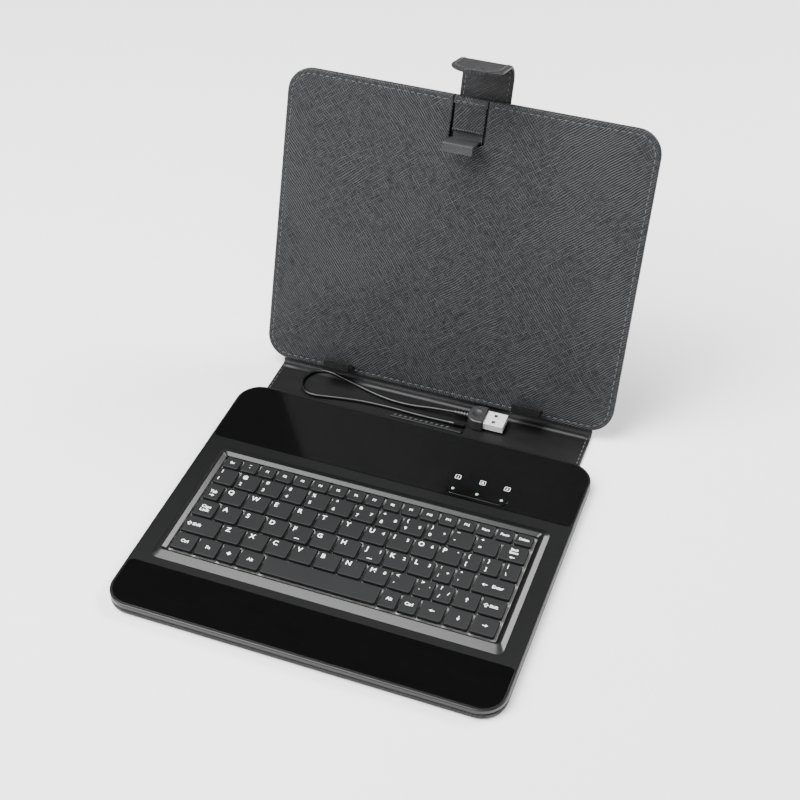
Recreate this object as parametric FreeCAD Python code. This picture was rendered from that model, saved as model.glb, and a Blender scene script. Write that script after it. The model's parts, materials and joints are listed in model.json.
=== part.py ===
"""Tablet keyboard case: a folding leather-faced case with a wired keyboard in its base, a soft spine, and
a cover with spring and fixed clips for the tablet, a closing strap and a rear stand leaf. Millimetres, +X
right, +Y back, +Z up. The origin is the centre of the base's underside. The case stands open, as in use."""

import FreeCAD, Part
import math
import os

V = FreeCAD.Vector

# ---- Driving dimensions -------------------------------------------------------------------------------
WIDTH = 226.0
BASE_DEPTH = 190.0
CORNER_R = 15.0
FRONT_Y = -BASE_DEPTH / 2
BACK_Y = BASE_DEPTH / 2
LEATHER = 0.8
BODY_GAP = 0.3

# Base stack, heights above the table
BOARD_TOP = 2.2
SKIN_WALL_TOP = 3.2
SKIN_WALL = 1.0
FLOOR_TOP = 3.2
RIM_BOTTOM = 4.0
SHELL_WALL = 1.4
SHELL_INSET = 1.7
LOWER_WALL_TOP = 5.3
DECK_UNDER = 5.4
DECK_TOP = 6.8
CREST_TOP = 8.0
STRIP_TOP = 7.05
STRIP_INSET = 1.6

# Keys
KEY_BLOCK_W = 190.6
KEY_FRONT_Y = FRONT_Y + 46.0
ROW_PITCH = 13.65
FUNCTION_ROW_D = 9.9
KEY_GAP = 1.05
KEY_TOP = 7.9
KEY_SKIRT_Z = 6.1
KEY_WALL = 0.9
KEY_TAPER = 0.35
KEY_EDGE_R = 0.35
STEM_R = 1.9
WELL_CLEAR = 1.0
KEY_BLOCK_D = 5 * ROW_PITCH + FUNCTION_ROW_D
DOME_TOP = 6.0
DOME_FOOT_R = 3.2
DOME_TIP_R = 1.7
DOME_WALL = 0.5

# Raised frame round the keys
FRAME_SIDE = 7.2
FRAME_FRONT = 9.5
FRAME_BACK = 7.8
CREST_IN = 3.1
CREST_IN_FRONT = 2.5
CREST_IN_BACK = 3.0

# Indicator block on the rear strip
LED_BLOCK_X = (35.4, 72.4)
LED_BLOCK_Y = (FRONT_Y + 140.5, FRONT_Y + 149.0)
LED_XS = (38.9, 53.6, 68.4)
LED_Y = FRONT_Y + 144.6
LED_R = 1.0
STRIP_REAR_Y = FRONT_Y + 138.5
PALM_REAR_Y = FRONT_Y + 32.0

# Folding: hinge lines at the level of the outer leather
HINGE_Z = 0.5
BASE_HINGE_Y = BACK_Y + 4.0
COVER_HINGE_Y = BASE_HINGE_Y + 28.7
SPINE_HALF_W = 102.0
SPINE_TOP = 1.7
COVER_LEAN = 71.5

# Cover panel: v runs up the panel from the hinge line, n out of its inner face
COVER_V0 = 5.0
COVER_V1 = 191.0
SKIN_N = -0.5
BOARD_N0 = 0.3
BOARD_N1 = 3.6
FACE_N = 4.5

# Clips that hold the tablet
HOOK_X = 61.6
HOOK_W = 17.2
HOOK_V = 9.2
HOOK_LIP_H = 6.2
HOOK_REACH = 10.5
HOOK_T = 1.4
CLIP_X = 0.5
CLIP_W = 18.4
CLIP_ARM_X = -0.7
CLIP_REACH = 13.5
SLOT_W = 21.4
SLOT_V = 164.5
CLIP_V1 = 166.4
CLIP_LIP_H = 5.6
FLAP_V0 = 170.4

# Strap
STRAP_X = 7.0
STRAP_W = 31.0
STRAP_T = 2.0
STRAP_N = -1.5
STRAP_ROOT_V = 196.1
STRAP_BEND_V = 213.0
STRAP_CURL = 92.0
STRAP_NECK = 15.6
STRAP_END = 37.0
STRAP_BEND_GAP = 1.6
MAGNET_R = 5.0
MAGNET_T = 1.0

# Stand leaf
STAND_V = 120.0
STAND_N = -1.8
STAND_W = 112.0
STAND_T = 2.0
STAND_LENGTH = 116.0

# Lead and plug
LEAD_D = 2.2
LEAD_Z = SPINE_TOP + LEAD_D / 2 + 0.05
BOOT_Z = 3.1
PLUG_Y = 114.4
PLUG_Z = 5.6
BOOT_X = (17.4, 27.2)
RELIEF_X = (18.4, 27.4)
PLUG_BODY_X = (27.4, 38.4)
SHELL_END_X = 50.8
LEAD_ROUTE = [
    (17.4, 107.0, BOOT_Z),
    (1.0, 106.6, LEAD_Z),
    (-21.0, 107.6, LEAD_Z),
    (-41.0, 106.9, LEAD_Z),
    (-57.0, 104.4, LEAD_Z),
    (-72.5, 101.2, LEAD_Z),
    (-80.5, 105.8, LEAD_Z),
    (-83.4, 114.6, LEAD_Z),
    (-79.7, 123.1, LEAD_Z),
    (-71.3, 126.9, LEAD_Z),
    (-55.9, 122.4, LEAD_Z),
    (-39.5, 117.2, LEAD_Z),
    (-24.0, 113.8, LEAD_Z),
    (-9.0, 113.2, 3.3),
    (5.0, 114.1, 4.9),
    (18.4, PLUG_Y, PLUG_Z),
]

PARTS = {}


# ---- Helpers ------------------------------------------------------------------------------------------
def box(x0, x1, y0, y1, z0, z1):
    return Part.makeBox(x1 - x0, y1 - y0, z1 - z0, V(x0, y0, z0))


def rounded_wire(x0, x1, y0, y1, z, radii):
    """A closed outline with one radius per corner: front left, front right, back right, back left."""
    corners = [(x0, y0), (x1, y0), (x1, y1), (x0, y1)]
    along = [(1, 0), (0, 1), (-1, 0), (0, -1)]
    edges = []
    last = None
    first = None
    for k in range(4):
        cx, cy = corners[k]
        r = radii[k]
        ix, iy = along[k - 1]
        ox, oy = along[k]
        start = V(cx - ix * r, cy - iy * r, z)
        end = V(cx + ox * r, cy + oy * r, z)
        if last is None:
            first = start
        else:
            edges.append(Part.LineSegment(last, start).toShape())
        bulge = r * (1 - math.sqrt(0.5))
        mid = V(cx - ix * bulge + ox * bulge, cy - iy * bulge + oy * bulge, z)
        edges.append(Part.Arc(start, mid, end).toShape())
        last = end
    edges.append(Part.LineSegment(last, first).toShape())
    return Part.Wire(edges)


def slab(x0, x1, y0, y1, z0, z1, r):
    """A plate with rounded upright corners. r is one radius, or one per corner."""
    radii = r if isinstance(r, (tuple, list)) else (r, r, r, r)
    face = Part.Face(rounded_wire(x0, x1, y0, y1, z0, radii))
    return face.extrude(V(0, 0, z1 - z0))


def centred_slab(w, d, z0, z1, r, inset=0.0):
    return slab(-w / 2 + inset, w / 2 - inset, -d / 2 + inset, d / 2 - inset, z0, z1, r - inset)


def soften_top(shape, z, radius):
    """Rounds every edge that lies flat at height z."""
    edges = [e for e in shape.Edges if abs(e.BoundBox.ZMin - z) < 1e-4 and abs(e.BoundBox.ZMax - z) < 1e-4]
    return shape.makeFillet(radius, edges)


def cylinder(r, x, y, z0, z1):
    return Part.makeCylinder(r, z1 - z0, V(x, y, z0))


def on_panel(shape):
    """Carries a shape drawn flat, as (x, v, n) from the cover's hinge line, to the leaning cover."""
    placed = shape.copy()
    placed.rotate(V(0, 0, 0), V(1, 0, 0), COVER_LEAN)
    placed.translate(V(0, COVER_HINGE_Y, HINGE_Z))
    return placed


def group(solids):
    return Part.makeCompound(solids)


def tray(outline, top, floor_top, wall):
    """Leather folded up round the edge of a board. outline is (x0, x1, y0, y1, r) and the bottom height."""
    x0, x1, y0, y1, r, z0 = outline
    outer = slab(x0, x1, y0, y1, z0, top, r)
    inner = slab(x0 + wall, x1 - wall, y0 + wall, y1 - wall, floor_top, top + 1, r - wall)
    return outer.cut(inner)


# ---- Base: leather, board and housing -----------------------------------------------------------------
def magnet_place():
    """Where the strap's magnet meets the base when the case is closed."""
    y = BASE_HINGE_Y - STRAP_ROOT_V + (STRAP_END - STRAP_NECK) - MAGNET_R - 3.5
    return STRAP_X, y


def make_base_cover():
    skin = tray((-WIDTH / 2, WIDTH / 2, FRONT_Y, BACK_Y, CORNER_R, 0.0), SKIN_WALL_TOP, LEATHER, SKIN_WALL)
    tongue = box(-SPINE_HALF_W, SPINE_HALF_W, BACK_Y - 3, BASE_HINGE_Y - BODY_GAP, 0, LEATHER)
    PARTS["base_skin"] = skin.fuse(tongue).removeSplitter()
    x, y = magnet_place()
    board = centred_slab(WIDTH, BASE_DEPTH, LEATHER, BOARD_TOP, CORNER_R, SKIN_WALL + 0.05)
    PARTS["base_board"] = board.cut(cylinder(6.05, x, y, LEATHER - 1, LEATHER + 0.8))
    PARTS["magnet_keeper"] = cylinder(6.0, x, y, LEATHER, LEATHER + 0.75)


SCREW_PLACES = [(sx * 106.5, y) for sx in (-1, 1) for y in (-72.0, -8.0, 62.0)]
SCREW_R = 0.8
HEAD_R = 1.6


def well(z0, z1, grow):
    half = KEY_BLOCK_W / 2 + WELL_CLEAR + grow
    return slab(
        -half,
        half,
        KEY_FRONT_Y - WELL_CLEAR - grow,
        KEY_FRONT_Y + KEY_BLOCK_D + WELL_CLEAR + grow,
        z0,
        z1,
        1.2 + grow,
    )


def key_frame():
    """The raised moulding round the keys: a wide slope in front, steeper ones at the back and sides."""
    half = KEY_BLOCK_W / 2
    back = KEY_FRONT_Y + KEY_BLOCK_D
    foot = rounded_wire(
        -half - FRAME_SIDE,
        half + FRAME_SIDE,
        KEY_FRONT_Y - FRAME_FRONT,
        back + FRAME_BACK,
        DECK_TOP - 0.2,
        [4.5] * 4,
    )
    crest = rounded_wire(
        -half - CREST_IN - 1.0,
        half + CREST_IN + 1.0,
        KEY_FRONT_Y - CREST_IN_FRONT - 0.6,
        back + CREST_IN_BACK + 0.8,
        CREST_TOP,
        [2.6] * 4,
    )
    body = Part.makeLoft([foot, crest], True, True)
    mouth_low = rounded_wire(
        -half - WELL_CLEAR,
        half + WELL_CLEAR,
        KEY_FRONT_Y - WELL_CLEAR,
        back + WELL_CLEAR,
        DECK_TOP - 0.3,
        [1.2] * 4,
    )
    mouth_high = rounded_wire(
        -half - CREST_IN,
        half + CREST_IN,
        KEY_FRONT_Y - CREST_IN_FRONT,
        back + CREST_IN_BACK,
        CREST_TOP + 0.01,
        [2.0] * 4,
    )
    return body, Part.makeLoft([mouth_low, mouth_high], True, True)


def make_housing():
    floor = centred_slab(WIDTH, BASE_DEPTH, BOARD_TOP, LOWER_WALL_TOP, CORNER_R, SHELL_INSET)
    inner = SHELL_INSET + SHELL_WALL
    hollow = centred_slab(WIDTH, BASE_DEPTH, FLOOR_TOP, LOWER_WALL_TOP + 1, CORNER_R, inner)
    lower = floor.cut(hollow)
    for x, y in SCREW_PLACES:
        lower = lower.cut(cylinder(HEAD_R + 0.1, x, y, BOARD_TOP - 1, BOARD_TOP + 0.7))
        lower = lower.cut(cylinder(SCREW_R + 0.1, x, y, BOARD_TOP, FLOOR_TOP + 1))
    PARTS["bottom_shell"] = lower

    upper = soften_top(centred_slab(WIDTH, BASE_DEPTH, RIM_BOTTOM, DECK_TOP, CORNER_R), DECK_TOP, 0.7)
    inside = centred_slab(WIDTH, BASE_DEPTH, RIM_BOTTOM - 1, DECK_UNDER, CORNER_R, SHELL_WALL + 0.1)
    upper = upper.cut(inside)
    frame, mouth = key_frame()
    upper = upper.fuse(frame).cut(mouth).cut(well(RIM_BOTTOM, DECK_TOP, 0.0))
    for x, y in SCREW_PLACES:
        boss = cylinder(2.2, x, y, FLOOR_TOP + 0.05, DECK_UNDER + 0.2)
        upper = upper.fuse(boss).cut(cylinder(SCREW_R, x, y, FLOOR_TOP - 1, DECK_UNDER - 0.3))
    for x in LED_XS:
        upper = upper.cut(cylinder(LED_R + 0.05, x, LED_Y, RIM_BOTTOM, DECK_TOP + 1))
    PARTS["top_shell"] = upper.removeSplitter()

    screws = []
    for x, y in SCREW_PLACES:
        head = cylinder(HEAD_R, x, y, BOARD_TOP + 0.02, BOARD_TOP + 0.65)
        shaft = cylinder(SCREW_R - 0.01, x, y, BOARD_TOP + 0.3, DECK_UNDER - 0.4)
        screws.append(head.fuse(shaft))
    PARTS["housing_screws"] = group(screws)


def make_deck_trim():
    half = WIDTH / 2 - STRIP_INSET
    outer_r = CORNER_R - STRIP_INSET
    palm = slab(
        -half, half, FRONT_Y + STRIP_INSET, PALM_REAR_Y, DECK_TOP, STRIP_TOP, (outer_r, outer_r, 3.0, 3.0)
    )
    PARTS["palm_strip"] = soften_top(palm, STRIP_TOP, 0.15)
    rear = slab(
        -half, half, STRIP_REAR_Y, BACK_Y - STRIP_INSET, DECK_TOP, STRIP_TOP, (3.0, 3.0, outer_r, outer_r)
    )
    x0, x1 = LED_BLOCK_X
    y0, y1 = LED_BLOCK_Y
    r = (y1 - y0) / 2 - 0.01
    rear = rear.cut(slab(x0 - 0.05, x1 + 0.05, y0 - 0.05, y1 + 0.05, DECK_TOP - 1, STRIP_TOP + 1, r))
    PARTS["gloss_strip"] = rear
    bezel = soften_top(slab(x0, x1, y0, y1, DECK_TOP, STRIP_TOP + 0.45, r), STRIP_TOP + 0.45, 0.25)
    lenses = []
    for x in LED_XS:
        bezel = bezel.cut(cylinder(LED_R + 0.05, x, LED_Y, DECK_TOP - 1, STRIP_TOP + 2))
        stem = cylinder(LED_R, x, LED_Y, DECK_UNDER - 0.6, STRIP_TOP + 0.45)
        dome = Part.makeSphere(LED_R * 1.25, V(x, LED_Y, STRIP_TOP + 0.45 - LED_R * 0.75))
        cap = dome.common(cylinder(LED_R, x, LED_Y, STRIP_TOP + 0.4, STRIP_TOP + 2))
        lenses.append(stem.fuse(cap).removeSplitter())
    PARTS["led_bezel"] = bezel
    PARTS["led_lenses"] = group(lenses)


# ---- Base: keyboard -----------------------------------------------------------------------------------
LETTER_W = 14.57
NARROW_W = 11.3

# Each row, front to back: its keys left to right as (node, width)
KEY_ROWS = [
    [("left_modifier_keys", w) for w in (14.4, 14.3, 11.3, 14.5)]
    + [("space_bar", 69.0)]
    + [("right_modifier_keys", 11.3)] * 2
    + [("arrow_keys", w) for w in (14.8, 14.8, 14.9)],
    [("left_shift_key", 22.1)]
    + [("bottom_letter_keys", LETTER_W)] * 8
    + [("bottom_letter_keys", NARROW_W)] * 2
    + [("arrow_keys", 14.6), ("right_shift_key", 14.7)],
    [("caps_lock_key", 14.0)]
    + [("home_letter_keys", LETTER_W)] * 9
    + [("home_letter_keys", NARROW_W)] * 2
    + [("enter_key", 22.9)],
    [("tab_key", 11.0)] + [("top_letter_keys", LETTER_W)] * 10 + [("top_letter_keys", NARROW_W)] * 3,
    [("number_row_keys", 13.6)] + [("number_row_keys", 14.6)] * 11 + [("backspace_key", 16.4)],
    [("escape_key", 11.21)] + [("function_row_keys", 11.21)] * 15 + [("delete_key", 11.21)],
]


def key_cells():
    """Every key's node and the plan area of its cell, in the order of KEY_ROWS."""
    cells = []
    y = KEY_FRONT_Y
    for row in KEY_ROWS:
        depth = FUNCTION_ROW_D if row is KEY_ROWS[-1] else ROW_PITCH
        scale = KEY_BLOCK_W / sum(w for _, w in row)
        x = -KEY_BLOCK_W / 2
        for node, w in row:
            cells.append((node, x, x + w * scale, y, y + depth))
            x += w * scale
        y += depth
    return cells


def key_cap(x0, x1, y0, y1):
    """A hollow cap whose sides lean in a little, with a stem that meets the dome below it."""
    g = KEY_GAP / 2
    foot = rounded_wire(x0 + g, x1 - g, y0 + g, y1 - g, KEY_SKIRT_Z, [0.9] * 4)
    g_top = g + KEY_TAPER
    head = rounded_wire(x0 + g_top, x1 - g_top, y0 + g_top, y1 - g_top, KEY_TOP, [0.9] * 4)
    cap = soften_top(Part.makeLoft([foot, head], True, True), KEY_TOP, KEY_EDGE_R)
    w = g + KEY_WALL
    under = KEY_TOP - KEY_WALL
    cap = cap.cut(box(x0 + w, x1 - w, y0 + w, y1 - w, KEY_SKIRT_Z - 1, under))
    stem = cylinder(STEM_R, (x0 + x1) / 2, (y0 + y1) / 2, DOME_TOP + 0.05, under + 0.2)
    return cap.fuse(stem)


def dome(x, y):
    """A rubber dome: a thin hollow cone with a flat top."""
    z0 = FLOOR_TOP + 0.8
    outer = Part.makeCone(DOME_FOOT_R, DOME_TIP_R, DOME_TOP - z0, V(x, y, z0))
    inner = Part.makeCone(
        DOME_FOOT_R - DOME_WALL, DOME_TIP_R - DOME_WALL, DOME_TOP - DOME_WALL - z0, V(x, y, z0)
    )
    return outer.cut(inner)


def make_keyboard():
    cells = key_cells()
    for node in sorted({c[0] for c in cells}):
        PARTS[node] = group([key_cap(*c[1:]) for c in cells if c[0] == node])
    PARTS["key_domes"] = group([dome((x0 + x1) / 2, (y0 + y1) / 2) for _, x0, x1, y0, y1 in cells])
    half = KEY_BLOCK_W / 2 + 4.0
    y0 = KEY_FRONT_Y - 4.0
    y1 = KEY_FRONT_Y + KEY_BLOCK_D + 4.0
    PARTS["key_plate"] = slab(-half, half, y0, y1, FLOOR_TOP, FLOOR_TOP + 0.5, 2.0)
    PARTS["key_membrane"] = slab(-half + 1, half - 1, y0 + 1, y1 - 1, FLOOR_TOP + 0.5, FLOOR_TOP + 0.8, 2.0)
    board = slab(-20, 80, STRIP_REAR_Y - 1, STRIP_REAR_Y + 24, FLOOR_TOP, FLOOR_TOP + 1.0, 1.0)
    chip = box(18, 27, LED_Y + 3, LED_Y + 12, FLOOR_TOP + 1.0, FLOOR_TOP + 1.9)
    socket = box(-16, -4, LED_Y + 8, LED_Y + 13, FLOOR_TOP + 1.0, FLOOR_TOP + 2.1)
    PARTS["controller_board"] = board.fuse(chip).fuse(socket)


# ---- Spine, lead and plug -----------------------------------------------------------------------------
def make_spine():
    y0 = BASE_HINGE_Y + BODY_GAP
    y1 = COVER_HINGE_Y - BODY_GAP
    w = SPINE_HALF_W
    PARTS["spine_skin"] = box(-w, w, y0, y1, 0.0, 0.7)
    PARTS["spine_board"] = box(-w + 2, w - 2, y0 + 1.2, y1 - 1.2, 0.7, 1.1)
    PARTS["spine_lining"] = box(-w, w, y0, y1, 1.1, SPINE_TOP)
    PARTS["cable_sleeve"] = soften_top(slab(-19.6, 27.2, 100.8, 104.6, SPINE_TOP, 2.7, 0.8), 2.7, 0.4)


def arc_corner(a, b, c):
    """The straight end, arc and straight start round route point b, with the arc's radius."""
    before = a - b
    after = c - b
    reach = 0.45 * min(before.Length, after.Length)
    turn = math.pi - math.acos(before.dot(after) / (before.Length * after.Length))
    radius = reach / math.tan(turn / 2)
    u = before * (1 / before.Length)
    w = after * (1 / after.Length)
    towards = u + w
    start = b + u * reach
    end = b + w * reach
    mid = b + towards * ((math.hypot(radius, reach) - radius) / towards.Length)
    return start, mid, end, radius


def lead_path(route):
    """Straight runs joined by tangent arcs, and the smallest radius."""
    points = [V(*p) for p in route]
    edges = []
    radii = []
    last = points[0]
    for a, b, c in zip(points, points[1:], points[2:]):
        start, mid, end, radius = arc_corner(a, b, c)
        edges.append(Part.LineSegment(last, start).toShape())
        edges.append(Part.Arc(start, mid, end).toShape())
        radii.append(radius)
        last = end
    edges.append(Part.LineSegment(last, points[-1]).toShape())
    return Part.Wire(edges), radii


def make_lead():
    path, radii = lead_path(LEAD_ROUTE)
    start = V(*LEAD_ROUTE[0])
    heading = V(*LEAD_ROUTE[1]) - start
    profile = Part.Wire([Part.Circle(start, heading, LEAD_D / 2).toShape()])
    tube = path.makePipeShell([profile], True, False)
    section = math.pi * LEAD_D**2 / 4
    print("lead radii", [round(r, 1) for r in radii])
    runs = [(V(*b) - V(*a)).Length for a, b in zip(LEAD_ROUTE, LEAD_ROUTE[1:])]
    print("lead runs", [round(r, 1) for r in runs])
    print("lead length %.1f" % path.Length)
    print("lead volume %.1f, section x length %.1f" % (tube.Volume, section * path.Length))
    PARTS["keyboard_lead"] = tube


def make_boot():
    x0, x1 = BOOT_X
    y = LEAD_ROUTE[0][1]
    block = slab(x0 + 3.0, x1, y - 1.6, y + 1.6, SPINE_TOP, BOOT_Z + 1.45, 0.8)
    nose = Part.makeCone(1.3, 1.5, 3.2, V(x0, y, BOOT_Z), V(1, 0, 0))
    nose = nose.cut(box(x0 - 1, x1, y - 5, y + 5, SPINE_TOP - 5, SPINE_TOP))
    PARTS["cable_boot"] = block.fuse(nose)


def make_plug():
    x0, x1 = RELIEF_X
    relief = Part.makeCone(1.6, 2.6, x1 - x0, V(x0, PLUG_Y, PLUG_Z), V(1, 0, 0))
    for k in range(4):
        x = x0 + 1.6 + 1.9 * k
        ring = Part.makeCylinder(4.0, 0.7, V(x, PLUG_Y, PLUG_Z), V(1, 0, 0))
        core = Part.makeCylinder(1.5 + 0.1 * k, 0.7, V(x, PLUG_Y, PLUG_Z), V(1, 0, 0))
        relief = relief.cut(ring.cut(core))
    PARTS["plug_relief"] = relief

    b0, b1 = PLUG_BODY_X
    half_w = 7.6
    half_t = 3.75
    body = slab(
        b0, b1, PLUG_Y - half_w, PLUG_Y + half_w, PLUG_Z - half_t, PLUG_Z + half_t, (6.5, 1.2, 1.2, 6.5)
    )
    flat = [e for e in body.Edges if abs(e.BoundBox.ZMax - e.BoundBox.ZMin) < 1e-6]
    body = body.makeFillet(0.9, flat)
    mid_x = (b0 + b1) / 2
    for side in (1, -1):
        dimple = Part.makeSphere(9.0, V(mid_x, PLUG_Y, PLUG_Z + side * (half_t + 8.4)))
        body = body.cut(dimple)
    shell_w = 6.0
    shell_t = 2.25
    root = 3.0
    seat = box(b1 - root, b1 + 1, PLUG_Y - shell_w, PLUG_Y + shell_w, PLUG_Z - shell_t, PLUG_Z + shell_t)
    PARTS["plug_body"] = body.cut(seat)
    outer = box(
        b1 - root, SHELL_END_X, PLUG_Y - shell_w, PLUG_Y + shell_w, PLUG_Z - shell_t, PLUG_Z + shell_t
    )
    wall = 0.35
    inner = box(
        b1 - root + 1,
        SHELL_END_X + 1,
        PLUG_Y - shell_w + wall,
        PLUG_Y + shell_w - wall,
        PLUG_Z - shell_t + wall,
        PLUG_Z + shell_t - wall,
    )
    shell = outer.cut(inner)
    for side in (-1, 1):
        y = PLUG_Y + side * 2.9
        shell = shell.cut(box(b1 + 4.6, b1 + 7.0, y - 1.2, y + 1.2, PLUG_Z - 4, PLUG_Z + 4))
    PARTS["plug_shell"] = shell
    PARTS["plug_tongue"] = box(
        b1 - root + 1, SHELL_END_X - 0.6, PLUG_Y - 5.4, PLUG_Y + 5.4, PLUG_Z - 1.85, PLUG_Z + 0.05
    )


# ---- Cover --------------------------------------------------------------------------------------------
def panel_slab(n0, n1, inset):
    half = WIDTH / 2 - inset
    return slab(-half, half, COVER_V0 + inset, COVER_V1 - inset, n0, n1, CORNER_R - inset)


def slot_cut(n0, n1, v0=SLOT_V):
    return box(CLIP_X - SLOT_W / 2, CLIP_X + SLOT_W / 2, v0, COVER_V1 + 5, n0, n1)


CHANNEL_V = 118.0
CHANNEL_N = 1.0
HOOK_PLATE_N = 2.3


def make_cover_panel():
    skin = tray(
        (-WIDTH / 2, WIDTH / 2, COVER_V0, COVER_V1, CORNER_R, SKIN_N), BOARD_N1, BOARD_N0, SKIN_WALL
    )
    tongue = box(-SPINE_HALF_W, SPINE_HALF_W, BODY_GAP, COVER_V0 + 3, SKIN_N, BOARD_N0)
    skin = skin.fuse(tongue).cut(slot_cut(CHANNEL_N, BOARD_N1 + 1, COVER_V1 - 5))
    PARTS["cover_skin"] = on_panel(skin.removeSplitter())

    board = panel_slab(BOARD_N0, BOARD_N1, SKIN_WALL + 0.05)
    board = board.cut(slot_cut(CHANNEL_N, BOARD_N1 + 1, CHANNEL_V))
    lining = panel_slab(BOARD_N1, FACE_N, 0.0)
    lining = soften_top(lining, FACE_N, 0.6).cut(slot_cut(BOARD_N1 - 1, FACE_N + 1))
    for side in (-1, 1):
        x = side * HOOK_X
        w = HOOK_W / 2 + 0.1
        board = board.cut(box(x - w, x + w, HOOK_V - 0.1, HOOK_V + 15.1, HOOK_PLATE_N, BOARD_N1 + 1))
        slit_v = HOOK_V + HOOK_T + 0.1
        lining = lining.cut(box(x - w, x + w, HOOK_V - 0.1, slit_v, BOARD_N1 - 1, FACE_N + 1))
        for dx in (-5.0, 5.0):
            board = board.cut(cylinder(1.3, x + dx, HOOK_V + 9, HOOK_PLATE_N - 1.5, HOOK_PLATE_N + 1))
    PARTS["cover_board"] = on_panel(board)
    PARTS["cover_lining"] = on_panel(lining)


def tablet_hook(x):
    """A bracket held under the lining: plate, arm out of the panel and lip before the tablet's edge."""
    w = HOOK_W / 2
    reach = FACE_N + HOOK_REACH
    plate = box(x - w, x + w, HOOK_V, HOOK_V + 15, HOOK_PLATE_N + 0.05, BOARD_N1 - 0.05)
    arm = box(x - w, x + w, HOOK_V, HOOK_V + HOOK_T, HOOK_PLATE_N + 0.05, reach)
    lip = box(x - w, x + w, HOOK_V, HOOK_V + HOOK_LIP_H, reach - HOOK_T, reach)
    hook = plate.fuse(arm).fuse(lip).removeSplitter()
    outer = [
        e
        for e in hook.Edges
        if abs(e.BoundBox.YMin - HOOK_V) < 1e-4
        and abs(e.BoundBox.YMax - HOOK_V) < 1e-4
        and abs(e.BoundBox.ZMin - reach) < 1e-4
    ]
    hook = hook.makeFillet(0.9, outer)
    for dx in (-5.0, 5.0):
        hook = hook.cut(cylinder(1.3, x + dx, HOOK_V + 9, 0, BOARD_N1))
    return hook


def make_bottom_hooks():
    PARTS["left_hook"] = on_panel(tablet_hook(-HOOK_X))
    PARTS["right_hook"] = on_panel(tablet_hook(HOOK_X))
    rivets = [
        cylinder(1.25, side * HOOK_X + dx, HOOK_V + 9, HOOK_PLATE_N - 1.45, BOARD_N1 - 0.05)
        for side in (-1, 1)
        for dx in (-5.0, 5.0)
    ]
    PARTS["hook_rivets"] = on_panel(group(rivets))


def make_top_clip():
    x0 = CLIP_ARM_X - CLIP_W / 2
    x1 = CLIP_ARM_X + CLIP_W / 2
    reach = FACE_N + CLIP_REACH
    plate = box(CLIP_X - 9, CLIP_X + 9, 148, 180, CHANNEL_N + 0.2, CHANNEL_N + 1.4)
    arm = box(x0, x1, CLIP_V1 - HOOK_T, CLIP_V1, CHANNEL_N + 0.2, reach)
    lip = box(x0, x1, CLIP_V1 - CLIP_LIP_H, CLIP_V1, reach - HOOK_T, reach)
    clip = plate.fuse(arm).fuse(lip).removeSplitter()
    outer = [
        e
        for e in clip.Edges
        if abs(e.BoundBox.YMin - CLIP_V1) < 1e-4
        and abs(e.BoundBox.YMax - CLIP_V1) < 1e-4
        and abs(e.BoundBox.ZMin - reach) < 1e-4
    ]
    PARTS["clip_slider"] = on_panel(clip.makeFillet(0.9, outer))
    flap = box(CLIP_X - 9.6, CLIP_X + 9.6, FLAP_V0, COVER_V1 - 4, 2.9, 3.7)
    roll = Part.makeCylinder(0.9, 19.2, V(CLIP_X - 9.6, FLAP_V0 + 1.0, 3.6), V(1, 0, 0))
    hem = box(CLIP_X - 10.4, CLIP_X + 10.4, COVER_V1 - 4.6, COVER_V1 - 0.1, 2.6, FACE_N - 0.1)
    PARTS["clip_flap"] = on_panel(flap.fuse(roll).fuse(hem).removeSplitter())
    PARTS["clip_elastic"] = on_panel(box(CLIP_X - 7, CLIP_X + 7, CHANNEL_V + 0.2, 147.8, 1.3, 2.2))


# ---- Strap --------------------------------------------------------------------------------------------
def strap_slab(v0, v1, square_end=True):
    x0 = STRAP_X - STRAP_W / 2
    x1 = STRAP_X + STRAP_W / 2
    n0 = STRAP_N - STRAP_T / 2
    if square_end:
        return box(x0, x1, v0, v1, n0, n0 + STRAP_T)
    return slab(x0, x1, v0, v1, n0, n0 + STRAP_T, (0.1, 0.1, 13.0, 13.0))


def curled(shape):
    """Turns the outer part of the strap forwards about its bend, as it curls when the case is open."""
    turned = shape.copy()
    turned.rotate(V(0, STRAP_BEND_V, STRAP_N), V(1, 0, 0), STRAP_CURL)
    return turned


def make_strap():
    neck_end = STRAP_BEND_V + STRAP_NECK
    tip_end = STRAP_BEND_V + STRAP_END
    inner = STRAP_N + STRAP_T / 2
    half = STRAP_W / 2
    gap = STRAP_BEND_GAP
    anchor = box(STRAP_X - half, STRAP_X + half, 150, STRAP_ROOT_V - gap, SKIN_N - STRAP_T, SKIN_N)
    PARTS["strap_anchor"] = on_panel(anchor)
    PARTS["strap_riser"] = on_panel(strap_slab(STRAP_ROOT_V + gap, STRAP_BEND_V - gap))
    PARTS["strap_neck"] = on_panel(curled(strap_slab(STRAP_BEND_V + gap, neck_end - gap)))
    tab = strap_slab(neck_end + gap, tip_end, False)
    magnet_v = tip_end - MAGNET_R - 3.5
    tab = tab.cut(cylinder(MAGNET_R + 0.05, STRAP_X, magnet_v, inner - MAGNET_T, inner + 1))
    magnet = cylinder(MAGNET_R, STRAP_X, magnet_v, inner - MAGNET_T, inner - 0.05)
    PARTS["strap_tab"] = on_panel(curled(tab))
    PARTS["strap_magnet"] = on_panel(curled(magnet))


# ---- Stand --------------------------------------------------------------------------------------------
def stand_open_angle():
    """How far the leaf swings off the cover before the outer edge of its foot meets the table."""
    lean = math.radians(COVER_LEAN)
    hinge_height = HINGE_Z + STAND_V * math.sin(lean) + STAND_N * math.cos(lean)
    reach = math.hypot(STAND_LENGTH, STAND_T / 2)
    from_vertical = math.acos(hinge_height / reach) + math.atan(STAND_T / 2 / STAND_LENGTH)
    return 90 - COVER_LEAN + math.degrees(from_vertical)


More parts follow.
